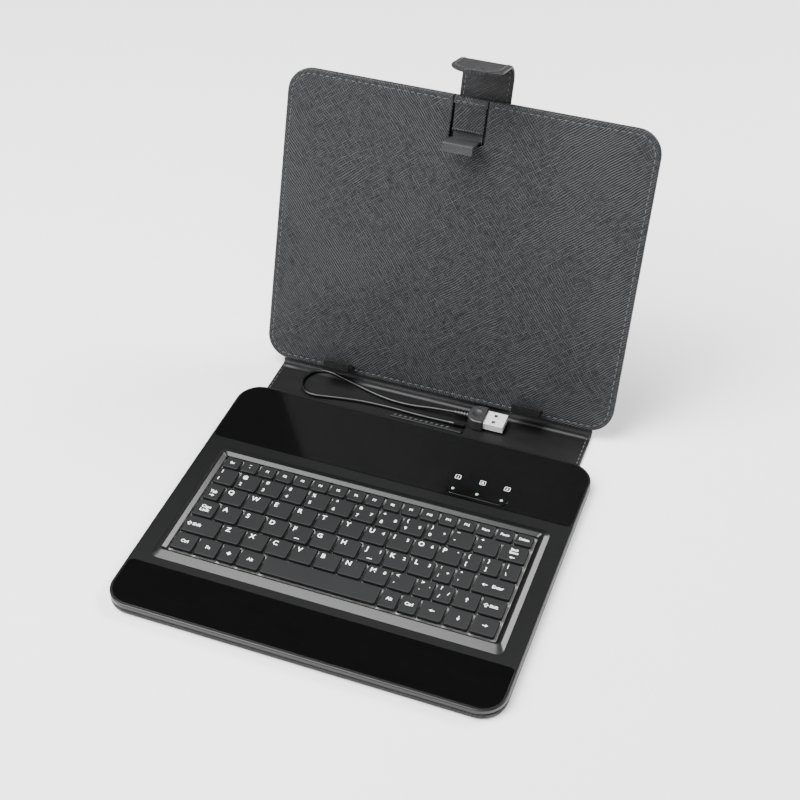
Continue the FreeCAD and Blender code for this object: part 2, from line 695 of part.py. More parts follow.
def make_stand():
    """The leaf is drawn folded against the cover, hanging down from its hinge line, and then swung open."""
    half = STAND_W / 2
    v0 = STAND_V - STAND_LENGTH
    n0 = STAND_N - STAND_T / 2
    wall = 0.5
    leather = slab(-half, half, v0, STAND_V - 1.6, n0, n0 + STAND_T, (9.0, 9.0, 0.5, 0.5))
    pocket = slab(
        -half + 3, half - 3, v0 + 3, STAND_V - 4, n0 + wall, n0 + STAND_T + 1, (7.0, 7.0, 0.5, 0.5)
    )
    board = slab(
        -half + 3.05, half - 3.05, v0 + 3.05, STAND_V - 4.05, n0 + wall, n0 + STAND_T, (7.0, 7.0, 0.5, 0.5)
    )
    angle = stand_open_angle()
    for name, shape in (("stand_leaf", leather.cut(pocket)), ("stand_board", board)):
        opened = shape.copy()
        opened.rotate(V(0, STAND_V, STAND_N), V(1, 0, 0), angle)
        PARTS[name] = on_panel(opened)
    flange = slab(-half, half, STAND_V + 1.6, STAND_V + 14, SKIN_N - 1.0, SKIN_N, (0.3, 0.3, 4.0, 4.0))
    PARTS["stand_flange"] = on_panel(flange)
    print("stand opens %.2f degrees, foot at z %.2f" % (angle, PARTS["stand_leaf"].BoundBox.ZMin))


def write_parts():
    os.makedirs("parts", exist_ok=True)
    for name in sorted(PARTS):
        shape = PARTS[name]
        if not shape.isValid():
            print("not valid:", name)
        shape.exportStep("parts/%s.step" % name)
    print(len(PARTS), "parts")


make_base_cover()
make_housing()
make_deck_trim()
make_keyboard()
make_spine()
make_boot()
make_lead()
make_plug()
make_cover_panel()
make_bottom_hooks()
make_top_clip()
make_strap()
make_stand()
write_parts()
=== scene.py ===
import bpy
import bmesh
import json
import math
import random
from mathutils import Matrix, Vector
from mathutils.geometry import delaunay_2d_cdt


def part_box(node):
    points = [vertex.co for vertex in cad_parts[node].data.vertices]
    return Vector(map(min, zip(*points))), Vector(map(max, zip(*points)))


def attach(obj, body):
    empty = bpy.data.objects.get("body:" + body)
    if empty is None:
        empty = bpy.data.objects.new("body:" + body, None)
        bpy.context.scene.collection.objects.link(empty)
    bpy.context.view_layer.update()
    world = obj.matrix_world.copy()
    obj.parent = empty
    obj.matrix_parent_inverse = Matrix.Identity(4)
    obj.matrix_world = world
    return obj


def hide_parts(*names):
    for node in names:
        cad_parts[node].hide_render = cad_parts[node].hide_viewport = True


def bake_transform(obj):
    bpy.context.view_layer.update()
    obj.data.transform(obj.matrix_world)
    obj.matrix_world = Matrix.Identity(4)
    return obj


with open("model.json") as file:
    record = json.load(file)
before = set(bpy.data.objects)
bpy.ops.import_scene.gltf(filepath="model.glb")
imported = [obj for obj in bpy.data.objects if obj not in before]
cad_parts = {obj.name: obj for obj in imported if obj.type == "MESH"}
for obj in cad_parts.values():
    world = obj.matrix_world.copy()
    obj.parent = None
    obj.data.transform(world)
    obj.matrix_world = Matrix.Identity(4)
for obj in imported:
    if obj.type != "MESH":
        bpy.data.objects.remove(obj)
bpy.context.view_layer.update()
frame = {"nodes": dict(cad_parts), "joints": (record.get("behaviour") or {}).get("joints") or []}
MM = 0.001
JOINTS = {j["name"]: j for j in frame["joints"]}
random.seed(7)

# ---- Places taken from the frame, in millimetres --------------------------------------------------------
UP_PANEL = Vector(JOINTS["top_clip_slide"]["axis"])
OUT_PANEL = Vector((0, -UP_PANEL.z, UP_PANEL.y))
COVER_HINGE = Vector(JOINTS["cover_fold"]["pos_m"]) / MM
LEAN = math.atan2(UP_PANEL.z, UP_PANEL.y)
UP = Vector((0, 0, 1))


def node_box(name):
    low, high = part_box(name)
    return low / MM, high / MM


BASE_HI = node_box("top_shell")[1]
SKIN_LO = node_box("base_skin")[0]
HALF_W = BASE_HI.x
CORNER_R = 15.0
PANEL_V0, PANEL_V1 = 5.0, 191.0
BACK_N, SEAM_N, FACE_N = -0.5, 3.6, 4.5
SPINE_HALF_W = node_box("spine_lining")[1].x
KEY_TOP = node_box("space_bar")[1].z


def panel(x, v, n):
    """A point on the cover: across, up from its hinge line and out of its face."""
    return Vector((x, 0, 0)) + COVER_HINGE + UP_PANEL * v + OUT_PANEL * n


# ---- Camera ---------------------------------------------------------------------------------------------
CAMERA_AZIMUTH = math.radians(20.24)
CAMERA_ELEVATION = math.radians(41.53)
CAMERA_DISTANCE = 0.9202
CAMERA_AIM = Vector((-0.0194, 0.1192, 0.0))
CAMERA_LENS = 66.01


def make_camera():
    a, e = CAMERA_AZIMUTH, CAMERA_ELEVATION
    back = Vector((math.sin(a) * math.cos(e), -math.cos(a) * math.cos(e), math.sin(e)))
    camera = bpy.data.objects.new("camera", bpy.data.cameras.new("camera"))
    bpy.context.scene.collection.objects.link(camera)
    camera.data.lens = CAMERA_LENS
    camera.data.sensor_width = 36.0
    camera.data.clip_start = 0.05
    camera.data.clip_end = 20.0
    camera.location = CAMERA_AIM + back * CAMERA_DISTANCE
    camera.rotation_mode = "QUATERNION"
    camera.rotation_quaternion = (-back).to_track_quat("-Z", "Y")
    bpy.context.scene.camera = camera


make_camera()

# ---- Material nodes -------------------------------------------------------------------------------------


def node(tree, kind, inputs=None, **props):
    made = tree.nodes.new(kind)
    for key, value in props.items():
        setattr(made, key, value)
    for key, value in (inputs or {}).items():
        if isinstance(value, bpy.types.NodeSocket):
            tree.links.new(value, made.inputs[key])
        else:
            made.inputs[key].default_value = value
    return made


def maths(tree, op, a, b=0.0, clamp=False):
    return node(tree, "ShaderNodeMath", {0: a, 1: b}, operation=op, use_clamp=clamp).outputs[0]


def blank(name, rough, specular=0.5, **sockets):
    """A principled material with its plain values on the shader's own sockets."""
    mat = bpy.data.materials.new(name)
    mat.use_nodes = True
    bsdf = mat.node_tree.nodes["Principled BSDF"]
    bsdf.inputs["Roughness"].default_value = rough
    bsdf.inputs["Specular IOR Level"].default_value = specular
    for key, value in sockets.items():
        bsdf.inputs[key.replace("_", " ")].default_value = value
    return mat, mat.node_tree, bsdf


def noise(tree, vector, scale, detail=3.0, rough=0.6):
    inputs = {"Vector": vector, "Scale": scale, "Detail": detail, "Roughness": rough}
    return node(tree, "ShaderNodeTexNoise", inputs).outputs["Fac"]


def ramp(tree, fac, low, high, a, b):
    """A colour that goes from a to b as fac goes from low to high."""
    made = node(tree, "ShaderNodeValToRGB", {"Fac": fac})
    made.color_ramp.elements[0].position = low
    made.color_ramp.elements[1].position = high
    made.color_ramp.elements[0].color = (*a, 1)
    made.color_ramp.elements[1].color = (*b, 1)
    return made.outputs["Color"]


def bump(tree, bsdf, height, strength, depth):
    made = node(tree, "ShaderNodeBump", {"Height": height, "Strength": strength, "Distance": depth})
    tree.links.new(made.outputs["Normal"], bsdf.inputs["Normal"])


def blended(tree, a, part_a, b, part_b):
    return maths(tree, "ADD", maths(tree, "MULTIPLY", a, part_a), maths(tree, "MULTIPLY", b, part_b))


def vary_rough(tree, bsdf, fac, low, high):
    made = node(tree, "ShaderNodeMapRange", {"Value": fac, "To Min": low, "To Max": high})
    tree.links.new(made.outputs["Result"], bsdf.inputs["Roughness"])


def object_coords(tree):
    return node(tree, "ShaderNodeTexCoord").outputs["Object"]


def saffiano(name, dark, light, rough, specular, pitch=0.0013, depth=0.00012):
    """Leather pressed with two crossed sets of ridges. One leads on the left, the other on the right."""
    mat, tree, bsdf = blank(name, rough, specular)
    flat = node(tree, "ShaderNodeTexCoord").outputs["UV"]
    wander = node(tree, "ShaderNodeTexNoise", {"Vector": flat, "Scale": 60.0, "Detail": 2.0}).outputs["Color"]
    middle = {0: wander, 1: (0.5, 0.5, 0.5)}
    shift = node(tree, "ShaderNodeVectorMath", middle, operation="SUBTRACT").outputs[0]
    shift = node(tree, "ShaderNodeVectorMath", {0: shift, "Scale": 0.003}, operation="SCALE").outputs[0]
    moved = node(tree, "ShaderNodeVectorMath", {0: flat, 1: shift}, operation="ADD").outputs[0]
    side = node(tree, "ShaderNodeSeparateXYZ", {0: flat}).outputs["X"]
    lead = maths(tree, "ADD", noise(tree, flat, 18.0, 1.0), maths(tree, "MULTIPLY", side, 1.2))
    ridges = []
    for angle, offset in ((math.radians(50), 0.3), (math.radians(-40), 3.7)):
        spun = node(tree, "ShaderNodeMapping", {"Vector": moved, "Rotation": (0, 0, angle)}).outputs[0]
        across = node(tree, "ShaderNodeSeparateXYZ", {0: spun}).outputs["Y"]
        wave = maths(tree, "SINE", maths(tree, "MULTIPLY", across, 2 * math.pi / pitch))
        wave = node(tree, "ShaderNodeMapRange", {"Value": wave, "From Min": -0.6, "From Max": 0.9}).outputs[0]
        place = {"Vector": spun, "Location": (offset, offset, 0), "Scale": (0.22, 1, 1)}
        breaks = noise(tree, node(tree, "ShaderNodeMapping", place).outputs[0], 750.0, 2.0)
        share = lead if angle < 0 else maths(tree, "SUBTRACT", 1.0, lead)
        strength = blended(tree, breaks, 0.5, share, 0.5)
        limits = {"Value": strength, "From Min": 0.4, "From Max": 0.6, "To Min": 0.15}
        ridges.append(maths(tree, "MULTIPLY", wave, node(tree, "ShaderNodeMapRange", limits).outputs[0]))
    height = maths(tree, "MAXIMUM", *ridges)
    grain = noise(tree, flat, 2600.0, 2.0)
    tone = blended(tree, height, 0.85, grain, 0.2)
    tree.links.new(ramp(tree, tone, 0.12, 1.0, dark, light), bsdf.inputs["Base Color"])
    vary_rough(tree, bsdf, height, rough + 0.15, rough - 0.08)
    bump(tree, bsdf, maths(tree, "ADD", height, maths(tree, "MULTIPLY", grain, 0.2)), 1.0, depth)
    return mat


def plain_leather(name, dark, light, rough, scale, depth):
    """Smooth leather with fine pores and soft creases."""
    mat, tree, bsdf = blank(name, rough, 0.22)
    at = object_coords(tree)
    cells = node(tree, "ShaderNodeTexVoronoi", {"Vector": at, "Scale": scale}, feature="SMOOTH_F1")
    fine = noise(tree, at, scale * 2.2, 4.0)
    height = maths(tree, "ADD", maths(tree, "MULTIPLY", cells.outputs["Distance"], 0.7), fine)
    cloud = noise(tree, at, 30.0, 3.0)
    tone = blended(tree, fine, 0.6, cloud, 0.4)
    tree.links.new(ramp(tree, tone, 0.3, 0.7, dark, light), bsdf.inputs["Base Color"])
    vary_rough(tree, bsdf, cloud, rough - 0.06, rough + 0.1)
    bump(tree, bsdf, height, 0.6, depth)
    return mat


def moulded(name, dark, light, rough, scale=1900.0, depth=0.00003, specular=0.5):
    """Spark-textured moulded plastic with slight colour and sheen variation."""
    mat, tree, bsdf = blank(name, rough, specular)
    at = object_coords(tree)
    fine = noise(tree, at, scale, 2.0)
    cloud = noise(tree, at, 22.0, 3.0)
    tone = blended(tree, fine, 0.5, cloud, 0.5)
    tree.links.new(ramp(tree, tone, 0.3, 0.7, dark, light), bsdf.inputs["Base Color"])
    vary_rough(tree, bsdf, fine, rough - 0.05, rough + 0.08)
    bump(tree, bsdf, fine, 0.5, depth)
    return mat


def polished(name, dark, light, rough, coat=0.25):
    """Glossy plastic with faint wipe marks."""
    mat, tree, bsdf = blank(name, rough, 0.15, Coat_Weight=coat, Coat_Roughness=0.06)
    at = object_coords(tree)
    streak = node(tree, "ShaderNodeMapping", {"Vector": at, "Scale": (0.35, 1, 1)}).outputs[0]
    wipes = noise(tree, streak, 70.0, 6.0, 0.7)
    tree.links.new(ramp(tree, wipes, 0.35, 0.75, dark, light), bsdf.inputs["Base Color"])
    vary_rough(tree, bsdf, wipes, max(rough - 0.05, 0.02), rough + 0.06)
    bump(tree, bsdf, noise(tree, at, 9.0, 1.0), 0.25, 0.0004)
    return mat


def metal(name, dark, light, rough, metallic=1.0):
    mat, tree, bsdf = blank(name, rough, 0.5, Metallic=metallic)
    at = object_coords(tree)
    drawn = node(tree, "ShaderNodeMapping", {"Vector": at, "Scale": (0.05, 1, 1)}).outputs[0]
    lines = noise(tree, drawn, 2400.0, 3.0)
    tree.links.new(ramp(tree, lines, 0.3, 0.7, dark, light), bsdf.inputs["Base Color"])
    vary_rough(tree, bsdf, lines, rough - 0.05, rough + 0.1)
    bump(tree, bsdf, lines, 0.3, 0.00001)
    return mat


def thread(name, dark, light):
    """Twisted sewing thread."""
    mat, tree, bsdf = blank(name, 0.7, 0.3, Sheen_Weight=0.3)
    at = object_coords(tree)
    turns = {"Vector": at, "Scale": 900.0, "Distortion": 3.0}
    twist = node(tree, "ShaderNodeTexWave", turns, bands_direction="DIAGONAL").outputs["Fac"]
    fuzz = noise(tree, at, 3000.0, 2.0)
    tone = blended(tree, twist, 0.6, fuzz, 0.4)
    tree.links.new(ramp(tree, tone, 0.2, 0.8, dark, light), bsdf.inputs["Base Color"])
    bump(tree, bsdf, tone, 0.6, 0.00006)
    return mat


def woven(name, dark, light):
    mat, tree, bsdf = blank(name, 0.8, 0.25, Sheen_Weight=0.2)
    at = object_coords(tree)
    a = node(tree, "ShaderNodeTexWave", {"Vector": at, "Scale": 420.0}, bands_direction="X").outputs["Fac"]
    b = node(tree, "ShaderNodeTexWave", {"Vector": at, "Scale": 420.0}, bands_direction="Z").outputs["Fac"]
    weave = maths(tree, "MULTIPLY", a, b)
    tree.links.new(ramp(tree, weave, 0.1, 0.9, dark, light), bsdf.inputs["Base Color"])
    bump(tree, bsdf, weave, 0.7, 0.0001)
    return mat


def lit_lens(name, dark, light):
    mat, tree, bsdf = blank(name, 0.15, 0.5, Coat_Weight=0.6)
    at = object_coords(tree)
    haze = noise(tree, at, 900.0, 3.0)
    tree.links.new(ramp(tree, haze, 0.3, 0.7, dark, light), bsdf.inputs["Base Color"])
    bump(tree, bsdf, haze, 0.2, 0.00003)
    return mat


M = {
    "lining": saffiano("lining_leather", (0.003, 0.003, 0.0034), (0.05, 0.052, 0.056), 0.42, 0.16),
    "flap": saffiano("flap_leather", (0.0012, 0.0012, 0.0014), (0.045, 0.046, 0.049), 0.45, 0.16),
    "outer": saffiano("outer_leather", (0.0012, 0.0012, 0.0014), (0.022, 0.022, 0.024), 0.42, 0.25),
    "spine": plain_leather(
        "spine_leather", (0.0016, 0.0016, 0.0018), (0.0042, 0.0042, 0.0047),
        0.5, 900.0, 0.00003
    ),
    # The raised crease's leather is coloured much lighter than the spine's. This is a painted highlight along
    # the crease, laid over its real coarser grain.
    "ridge": plain_leather(
        "ridge_leather_painted_highlight", (0.004, 0.004, 0.0043), (0.032, 0.032, 0.034),
        0.45, 1100.0, 0.00015
    ),
    "thread": thread("sewing_thread", (0.012, 0.012, 0.0125), (0.075, 0.075, 0.078)),
    "deck": moulded("deck_plastic", (0.0015, 0.0016, 0.0017), (0.0028, 0.0029, 0.0031), 0.3, specular=0.4),
    "lower": moulded("lower_plastic", (0.003, 0.003, 0.0032), (0.005, 0.005, 0.0055), 0.5),
    "key": moulded("key_plastic", (0.0045, 0.0047, 0.005), (0.0075, 0.0078, 0.0083), 0.5, specular=0.24),
    "gloss": polished("gloss_plastic", (0.0006, 0.0006, 0.0007), (0.001, 0.001, 0.0011), 0.12),
    "bracket": polished("bracket_plastic", (0.003, 0.003, 0.0032), (0.006, 0.006, 0.0062), 0.28, 0.3),
    "clip": plain_leather("clip_skin", (0.006, 0.006, 0.0063), (0.045, 0.045, 0.047), 0.5, 1300.0, 0.0003),
    "steel": metal("plated_steel", (0.72, 0.72, 0.73), (0.9, 0.9, 0.9), 0.35, 0.5),
    "dull_steel": metal("dull_steel", (0.4, 0.4, 0.4), (0.55, 0.55, 0.55), 0.35),
    "lead": moulded("lead_rubber", (0.002, 0.002, 0.0022), (0.004, 0.004, 0.0044), 0.3, 1500.0, 0.00002, 0.3),
    "plug": moulded("plug_plastic", (0.013, 0.013, 0.0135), (0.022, 0.022, 0.023), 0.38, 1600.0, 0.00004),
    "white": moulded("white_plastic", (0.6, 0.6, 0.59), (0.7, 0.7, 0.69), 0.35),
    "legend": moulded("legend_ink", (0.82, 0.82, 0.82), (0.9, 0.9, 0.9), 0.5, 2500.0, 0.000005),
    "lens": lit_lens("led_lens", (0.12, 0.2, 0.12), (0.3, 0.42, 0.28)),
    "board": moulded("grey_board", (0.006, 0.006, 0.006), (0.012, 0.012, 0.012), 0.8, 700.0, 0.0001, 0.2),
    "circuit": moulded("circuit_board", (0.006, 0.05, 0.02), (0.01, 0.08, 0.035), 0.35, 500.0, 0.00003),
    "film": moulded("membrane_film", (0.25, 0.25, 0.24), (0.35, 0.35, 0.34), 0.3, 600.0, 0.00002),
    "rubber": moulded("dome_rubber", (0.4, 0.4, 0.39), (0.5, 0.5, 0.48), 0.5, 900.0, 0.00002),
    "elastic": woven("elastic_band", (0.003, 0.003, 0.003), (0.02, 0.02, 0.02)),
}

CAD_LOOKS = {
    "base_board": "board", "spine_board": "board", "cover_board": "board", "stand_board": "board",
    "magnet_keeper": "dull_steel", "strap_magnet": "dull_steel", "hook_rivets": "dull_steel",
    "housing_screws": "dull_steel", "key_plate": "dull_steel", "plug_shell": "steel",
    "bottom_shell": "lower", "top_shell": "deck", "gloss_strip": "gloss", "palm_strip": "gloss",
    "led_bezel": "gloss", "led_lenses": "lens", "key_membrane": "film", "key_domes": "rubber",
    "controller_board": "circuit", "clip_elastic": "elastic", "cable_boot": "lead", "plug_relief": "lead",
    "plug_body": "plug", "plug_tongue": "white", "left_hook": "bracket", "right_hook": "bracket",
    "clip_slider": "clip",
}


def wear_cad_nodes():
    for name, obj in frame["nodes"].items():
        look = CAD_LOOKS.get(name)
        if look is None and name.endswith(("_key", "_keys", "space_bar")):
            look = "key"
        if look is None:
            continue
        obj.data.materials.clear()
        obj.data.materials.append(M[look])


wear_cad_nodes()


# ---- Mesh helpers ---------------------------------------------------------------------------------------
def make_piece(name, bm, looks, smooth=True, lay=None):
    """Turns a bmesh in millimetres into a piece. lay gives a vertex's place on the flat leather."""
    bmesh.ops.recalc_face_normals(bm, faces=bm.faces)
    mesh = bpy.data.meshes.new(name)
    bm.to_mesh(mesh)
    bm.free()
    if lay:
        flat = [lay(v.index, v.co) for v in mesh.vertices]
        grain = mesh.uv_layers.new(name="grain")
        for loop in mesh.loops:
            grain.data[loop.index].uv = Vector(flat[loop.vertex_index]) * MM
    mesh.transform(Matrix.Scale(MM, 4))
    for look in looks:
        mesh.materials.append(M[look])
    if smooth:
        mesh.shade_smooth()
    piece = bpy.data.objects.new(name, mesh)
    bpy.context.scene.collection.objects.link(piece)
    return piece


def sharpen(piece, degrees=35):
    """Keeps edges steeper than this crisp on a smooth-shaded piece."""
    piece.data.set_sharp_from_angle(angle=math.radians(degrees))
    return piece


def rounded_outline(x0, x1, y0, y1, r, step=5.0, arc_steps=10):
    """Points round a rectangle with rounded corners, going anticlockwise from the front left one."""
    centres = [(x0 + r, y0 + r, 180), (x1 - r, y0 + r, 270), (x1 - r, y1 - r, 0), (x0 + r, y1 - r, 90)]
    points = []
    for cx, cy, start in centres:
        for k in range(arc_steps + 1):
            a = math.radians(start + 90 * k / arc_steps)
            points.append((cx + r * math.cos(a), cy + r * math.sin(a)))
    return divided(points, step)


def divided(points, step):
    """Adds points to the long runs of a closed outline."""
    full = []
    for a, b in zip(points, points[1:] + points[:1]):
        full.append(a)
        pieces = max(1, round(math.dist(a, b) / step))
        for k in range(1, pieces):
            t = k / pieces
            full.append((a[0] + (b[0] - a[0]) * t, a[1] + (b[1] - a[1]) * t))
    return full


def moved_in(points, depth):
    """A closed anticlockwise outline moved inwards by depth."""
    moved = []
    count = len(points)
    for k in range(count):
        a, b, c = (Vector(points[(k + d) % count]) for d in (-1, 0, 1))
        one = (b - a).normalized()
        two = (c - b).normalized()
        inward = Vector((-(one.y + two.y), one.x + two.x)).normalized()
        share = max(0.3, inward.dot(Vector((-one.y, one.x))))
        moved.append(tuple(b + inward * (depth / share)))
    return moved


def is_inside(outline, x, y):
    inside = False
    for (xa, ya), (xb, yb) in zip(outline, outline[1:] + outline[:1]):
        if (ya > y) != (yb > y) and x < xa + (xb - xa) * (y - ya) / (yb - ya):
            inside = not inside
    return inside


def bridge(bm, low, high, look=0):
    n = len(low)
    for k in range(n):
        bm.faces.new((low[k], low[(k + 1) % n], high[(k + 1) % n], high[k])).material_index = look


def walls(bm, outline, profile, place):
    """A closed wall. profile lists how far in and how high its rings lie. Gives the first and last ring."""
    rings = []
    for depth, height in profile:
        ring = moved_in(outline, depth)
        rings.append((ring, [bm.verts.new(place(k, x, y, height)) for k, (x, y) in enumerate(ring)]))
    for (_, low), (_, high) in zip(rings, rings[1:]):
        bridge(bm, low, high)
    return rings[0], rings[-1]


def fill(bm, ring, verts, extra, place, look=0):
    """Fills a closed ring with triangles through the extra points. place puts (x, y) on the surface."""
    flat = [Vector(p) for p in ring] + [Vector(p) for p in extra]
    edges = [(k, (k + 1) % len(ring)) for k in range(len(ring))]
    points, _, faces, sources, _, _ = delaunay_2d_cdt(flat, edges, [], 1, 1e-5)
    made = []
    for point, source in zip(points, sources):
        known = [s for s in source if s < len(ring)]
        made.append(verts[known[0]] if known else bm.verts.new(place(point.x, point.y)))
    for f in faces:
        corners = [made[i] for i in f]
        if len(set(corners)) == 3:
            bm.faces.new(corners).material_index = look


def grid_inside(outline, step, margin):
    """Points of a slightly shaken grid that lie inside an outline."""
    core = moved_in(outline, margin)
    xs = [p[0] for p in core]
    ys = [p[1] for p in core]
    found = []
    y = min(ys)
    while y < max(ys):
        x = min(xs)
        while x < max(xs):
            if is_inside(core, x, y):
                found.append((x + random.uniform(-0.2, 0.2), y + random.uniform(-0.2, 0.2)))
            x += step
        y += step
    return found


def soft_step(low, high, t):
    t = max(0.0, min(1.0, (t - low) / (high - low)))
    return t * t * (3 - 2 * t)


def hump(centre, half, t):
    """1 at the centre, falling smoothly to 0 at half to each side."""
    return 1 - soft_step(0.0, half, abs(t - centre))


# ---- Stitches and strips --------------------------------------------------------------------------------
def stitch(bm, at, along, up, length, width):
    """One raised stitch: a short bowed thread with rounded ends."""
    side = along.cross(up).normalized()
    rings = []
    for s in (-0.5, -0.36, 0.0, 0.36, 0.5):
        swell = 0.25 + 0.75 * math.sqrt(max(0.0, 1 - (2 * s) ** 4))
        lift = width * (0.45 * (1 - (2 * s) ** 2) - 0.15)
        centre = at + along * (s * length) + up * lift
        ring = []
        for k in range(6):
            a = math.pi * 2 * k / 6
            ring.append(bm.verts.new(centre + (side * math.cos(a) + up * math.sin(a)) * (width / 2 * swell)))
        rings.append(ring)
    for low, high in zip(rings, rings[1:]):
        bridge(bm, low, high)
    for ring in (rings[0], rings[-1]):
        bm.faces.new(ring)


def stitch_row(bm, path, pitch, width=0.6, share=0.7, slant=0.0):
    """Stitches at an even pitch along a path of (point, surface normal)."""
    lengths = [0.0]
    for (a, _), (b, _) in zip(path, path[1:]):
        lengths.append(lengths[-1] + (b - a).length)
    count = max(1, round(lengths[-1] / pitch))
    real = lengths[-1] / count
    k = 0
    for i in range(count):
        s = (i + 0.5) * real
        while lengths[k + 1] < s:
            k += 1
        (a, up_a), (b, up_b) = path[k], path[k + 1]
        t = (s - lengths[k]) / (lengths[k + 1] - lengths[k])
        up = up_a.lerp(up_b, t).normalized()
        along = (b - a).normalized()
        along = (along + up.cross(along) * (slant + random.uniform(-0.06, 0.06))).normalized()
        stitch(bm, a.lerp(b, t), along, up, real * share * random.uniform(0.94, 1.04), width)


EDGE_STEPS = (0.0, 0.9, 1.4, 1.8, 2.2, 2.7, 3.4)


def strip(name, stations, looks, lift=None, x_mid=0.0, spacing=6.0, look_of=None):
    """A long flat closed piece across X. A station is (centre, normal, half width, thickness)."""
    bm = bmesh.new()
    widest = max(s[2] for s in stations)
    core = widest - EDGE_STEPS[-1] - 1
    count = max(2, round(core * 2 / spacing))
    inner = [core * (2 * k / count - 1) for k in range(count + 1)]
    rings = []
    for centre, normal, half, thick in stations:
        r = thick / 2
        flat = half - r
        near = [max(flat - d, 0.0) for d in EDGE_STEPS]
        scale = max(flat - EDGE_STEPS[-1] - 0.5, 0.0) / core
        across = [-x for x in near] + [x * scale for x in inner] + near[::-1]
        ring = []

        def put(x, h, top):
            at = centre + Vector((x, 0, 0))
            extra = lift(x + x_mid, at) if lift and top else 0.0
            ring.append(bm.verts.new(at + Vector((x_mid, 0, 0)) + normal * (h + extra)))

        for x in across:
            put(x, r, True)
        for a in (50, 15, -15, -50):
            put(flat + r * math.cos(math.radians(a)), r * math.sin(math.radians(a)), False)
        for x in across[::-1]:
            put(x, -r, False)
        for a in (-50, -15, 15, 50):
            put(-flat - r * math.cos(math.radians(a)), r * math.sin(math.radians(a)), False)
        rings.append(ring)
    for k, (low, high) in enumerate(zip(rings, rings[1:])):
        bridge(bm, low, high, look_of(k) if look_of else 0)
    for ring in (rings[0], rings[-1]):
        bm.faces.new(ring)
    along = [0.0]
    for (a, *_), (b, *_) in zip(stations, stations[1:]):
        along.append(along[-1] + (b - a).length)
    size = len(rings[0])
    return sharpen(make_piece(name, bm, looks, lay=lambda k, co: (co.x, along[k // size])), 50)


def thread_piece(name, bm, like):
    """A set of stitches that moves as the piece it is sewn into."""
    piece = make_piece(name, bm, ["thread"])
    like(piece)
    return piece


# ---- Lead -----------------------------------------------------------------------------------------------
LEAD_Z = 2.85
LEAD_ROUTE = [
    (17.4, 107.0, 3.1),
    (1.0, 106.6, LEAD_Z),
    (-21.0, 107.6, LEAD_Z),
    (-41.0, 106.9, LEAD_Z),
    (-57.0, 104.4, LEAD_Z),
    (-72.5, 101.2, LEAD_Z),
    (-80.5, 105.8, LEAD_Z),
    (-83.4, 114.6, LEAD_Z),
    (-79.7, 123.1, LEAD_Z),
    (-71.3, 126.9, LEAD_Z),
    (-55.9, 122.4, LEAD_Z),
    (-39.5, 117.2, LEAD_Z),
    (-24.0, 113.8, LEAD_Z),
    (-9.0, 113.2, 3.3),
    (5.0, 114.1, 4.9),
    (18.4, 114.4, 5.6),
]


def make_lead():
    curve = bpy.data.curves.new("lead", "CURVE")
    curve.dimensions = "3D"
    curve.bevel_depth = 1.1 * MM
    curve.bevel_resolution = 5
    curve.use_fill_caps = True
    spline = curve.splines.new("NURBS")
    spline.points.add(len(LEAD_ROUTE) - 1)
    for point, place in zip(spline.points, LEAD_ROUTE):
        point.co = (*(c * MM for c in place), 1)
    spline.order_u = 3
    spline.use_endpoint_u = True
    spline.resolution_u = 12
    curve.materials.append(M["lead"])
    lead = bpy.data.objects.new("lead", curve)
    bpy.context.scene.collection.objects.link(lead)
    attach(lead, "spine")
    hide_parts("keyboard_lead")


make_lead()


# ---- Base leather ---------------------------------------------------------------------------------------
def make_base_leather():
    bm = bmesh.new()
    outline = rounded_outline(-HALF_W, HALF_W, SKIN_LO.y, BASE_HI.y, CORNER_R)
    profile = [
        (1.2, 0.0), (0.5, 0.14), (0.12, 0.5), (0.0, 1.0), (0.0, 2.5), (0.12, 2.95), (0.45, 3.2), (0.85, 3.12),
        (1.04, 2.8), (1.04, 0.82),
    ]
    under, floor = walls(bm, outline, profile, lambda k, x, y, z: (x, y, z))
    fill(bm, *under, grid_inside(under[0], 9.0, 4.0), lambda x, y: (x, y, 0.0))
    fill(bm, *floor, [], lambda x, y: (x, y, 0.82))
    lay = lambda k, co: (co.x + co.z, co.y + co.z)
    leather = sharpen(make_piece("base_leather", bm, ["outer"], lay=lay), 50)
    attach(leather, "base")
    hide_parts("base_skin")


make_base_leather()

# ---- Spine ----------------------------------------------------------------------------------------------
SPINE_SEAM_Y = 113.4
SPINE_STITCH_Z = 1.72
RIDGE_Y = 124.0


def front_fold(piece):
    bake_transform(piece)


def rear_fold(piece):
    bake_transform(piece)


def spine_lift(x, at):
    """Small waves in the soft lining, and the raised grainy roll along the cover's foot."""
    wave = 0.05 * math.sin(x * 0.11 + 1.3) * math.sin(at.y * 0.5) + 0.04 * math.sin(x * 0.27)
    if at.z > 2.0 or at.y > 126.2:
        return 0.0
    free = soft_step(-88.0, -95.0, x) + soft_step(-50.0, -42.0, x)
    free *= soft_step(SPINE_HALF_W, SPINE_HALF_W - 4, abs(x))
    edge = soft_step(SPINE_HALF_W, SPINE_HALF_W - 5, abs(x))
    return wave * edge * hump(111.0, 13.0, at.y) + 0.75 * free * hump(RIDGE_Y, 1.7, at.y)


def spine_stations(y0, y1, step):
    count = round((y1 - y0) / step)
    places = [y0 + (y1 - y0) * k / count for k in range(count + 1)]
    return [(Vector((0, y, 0.85)), UP, SPINE_HALF_W, 1.7) for y in places]


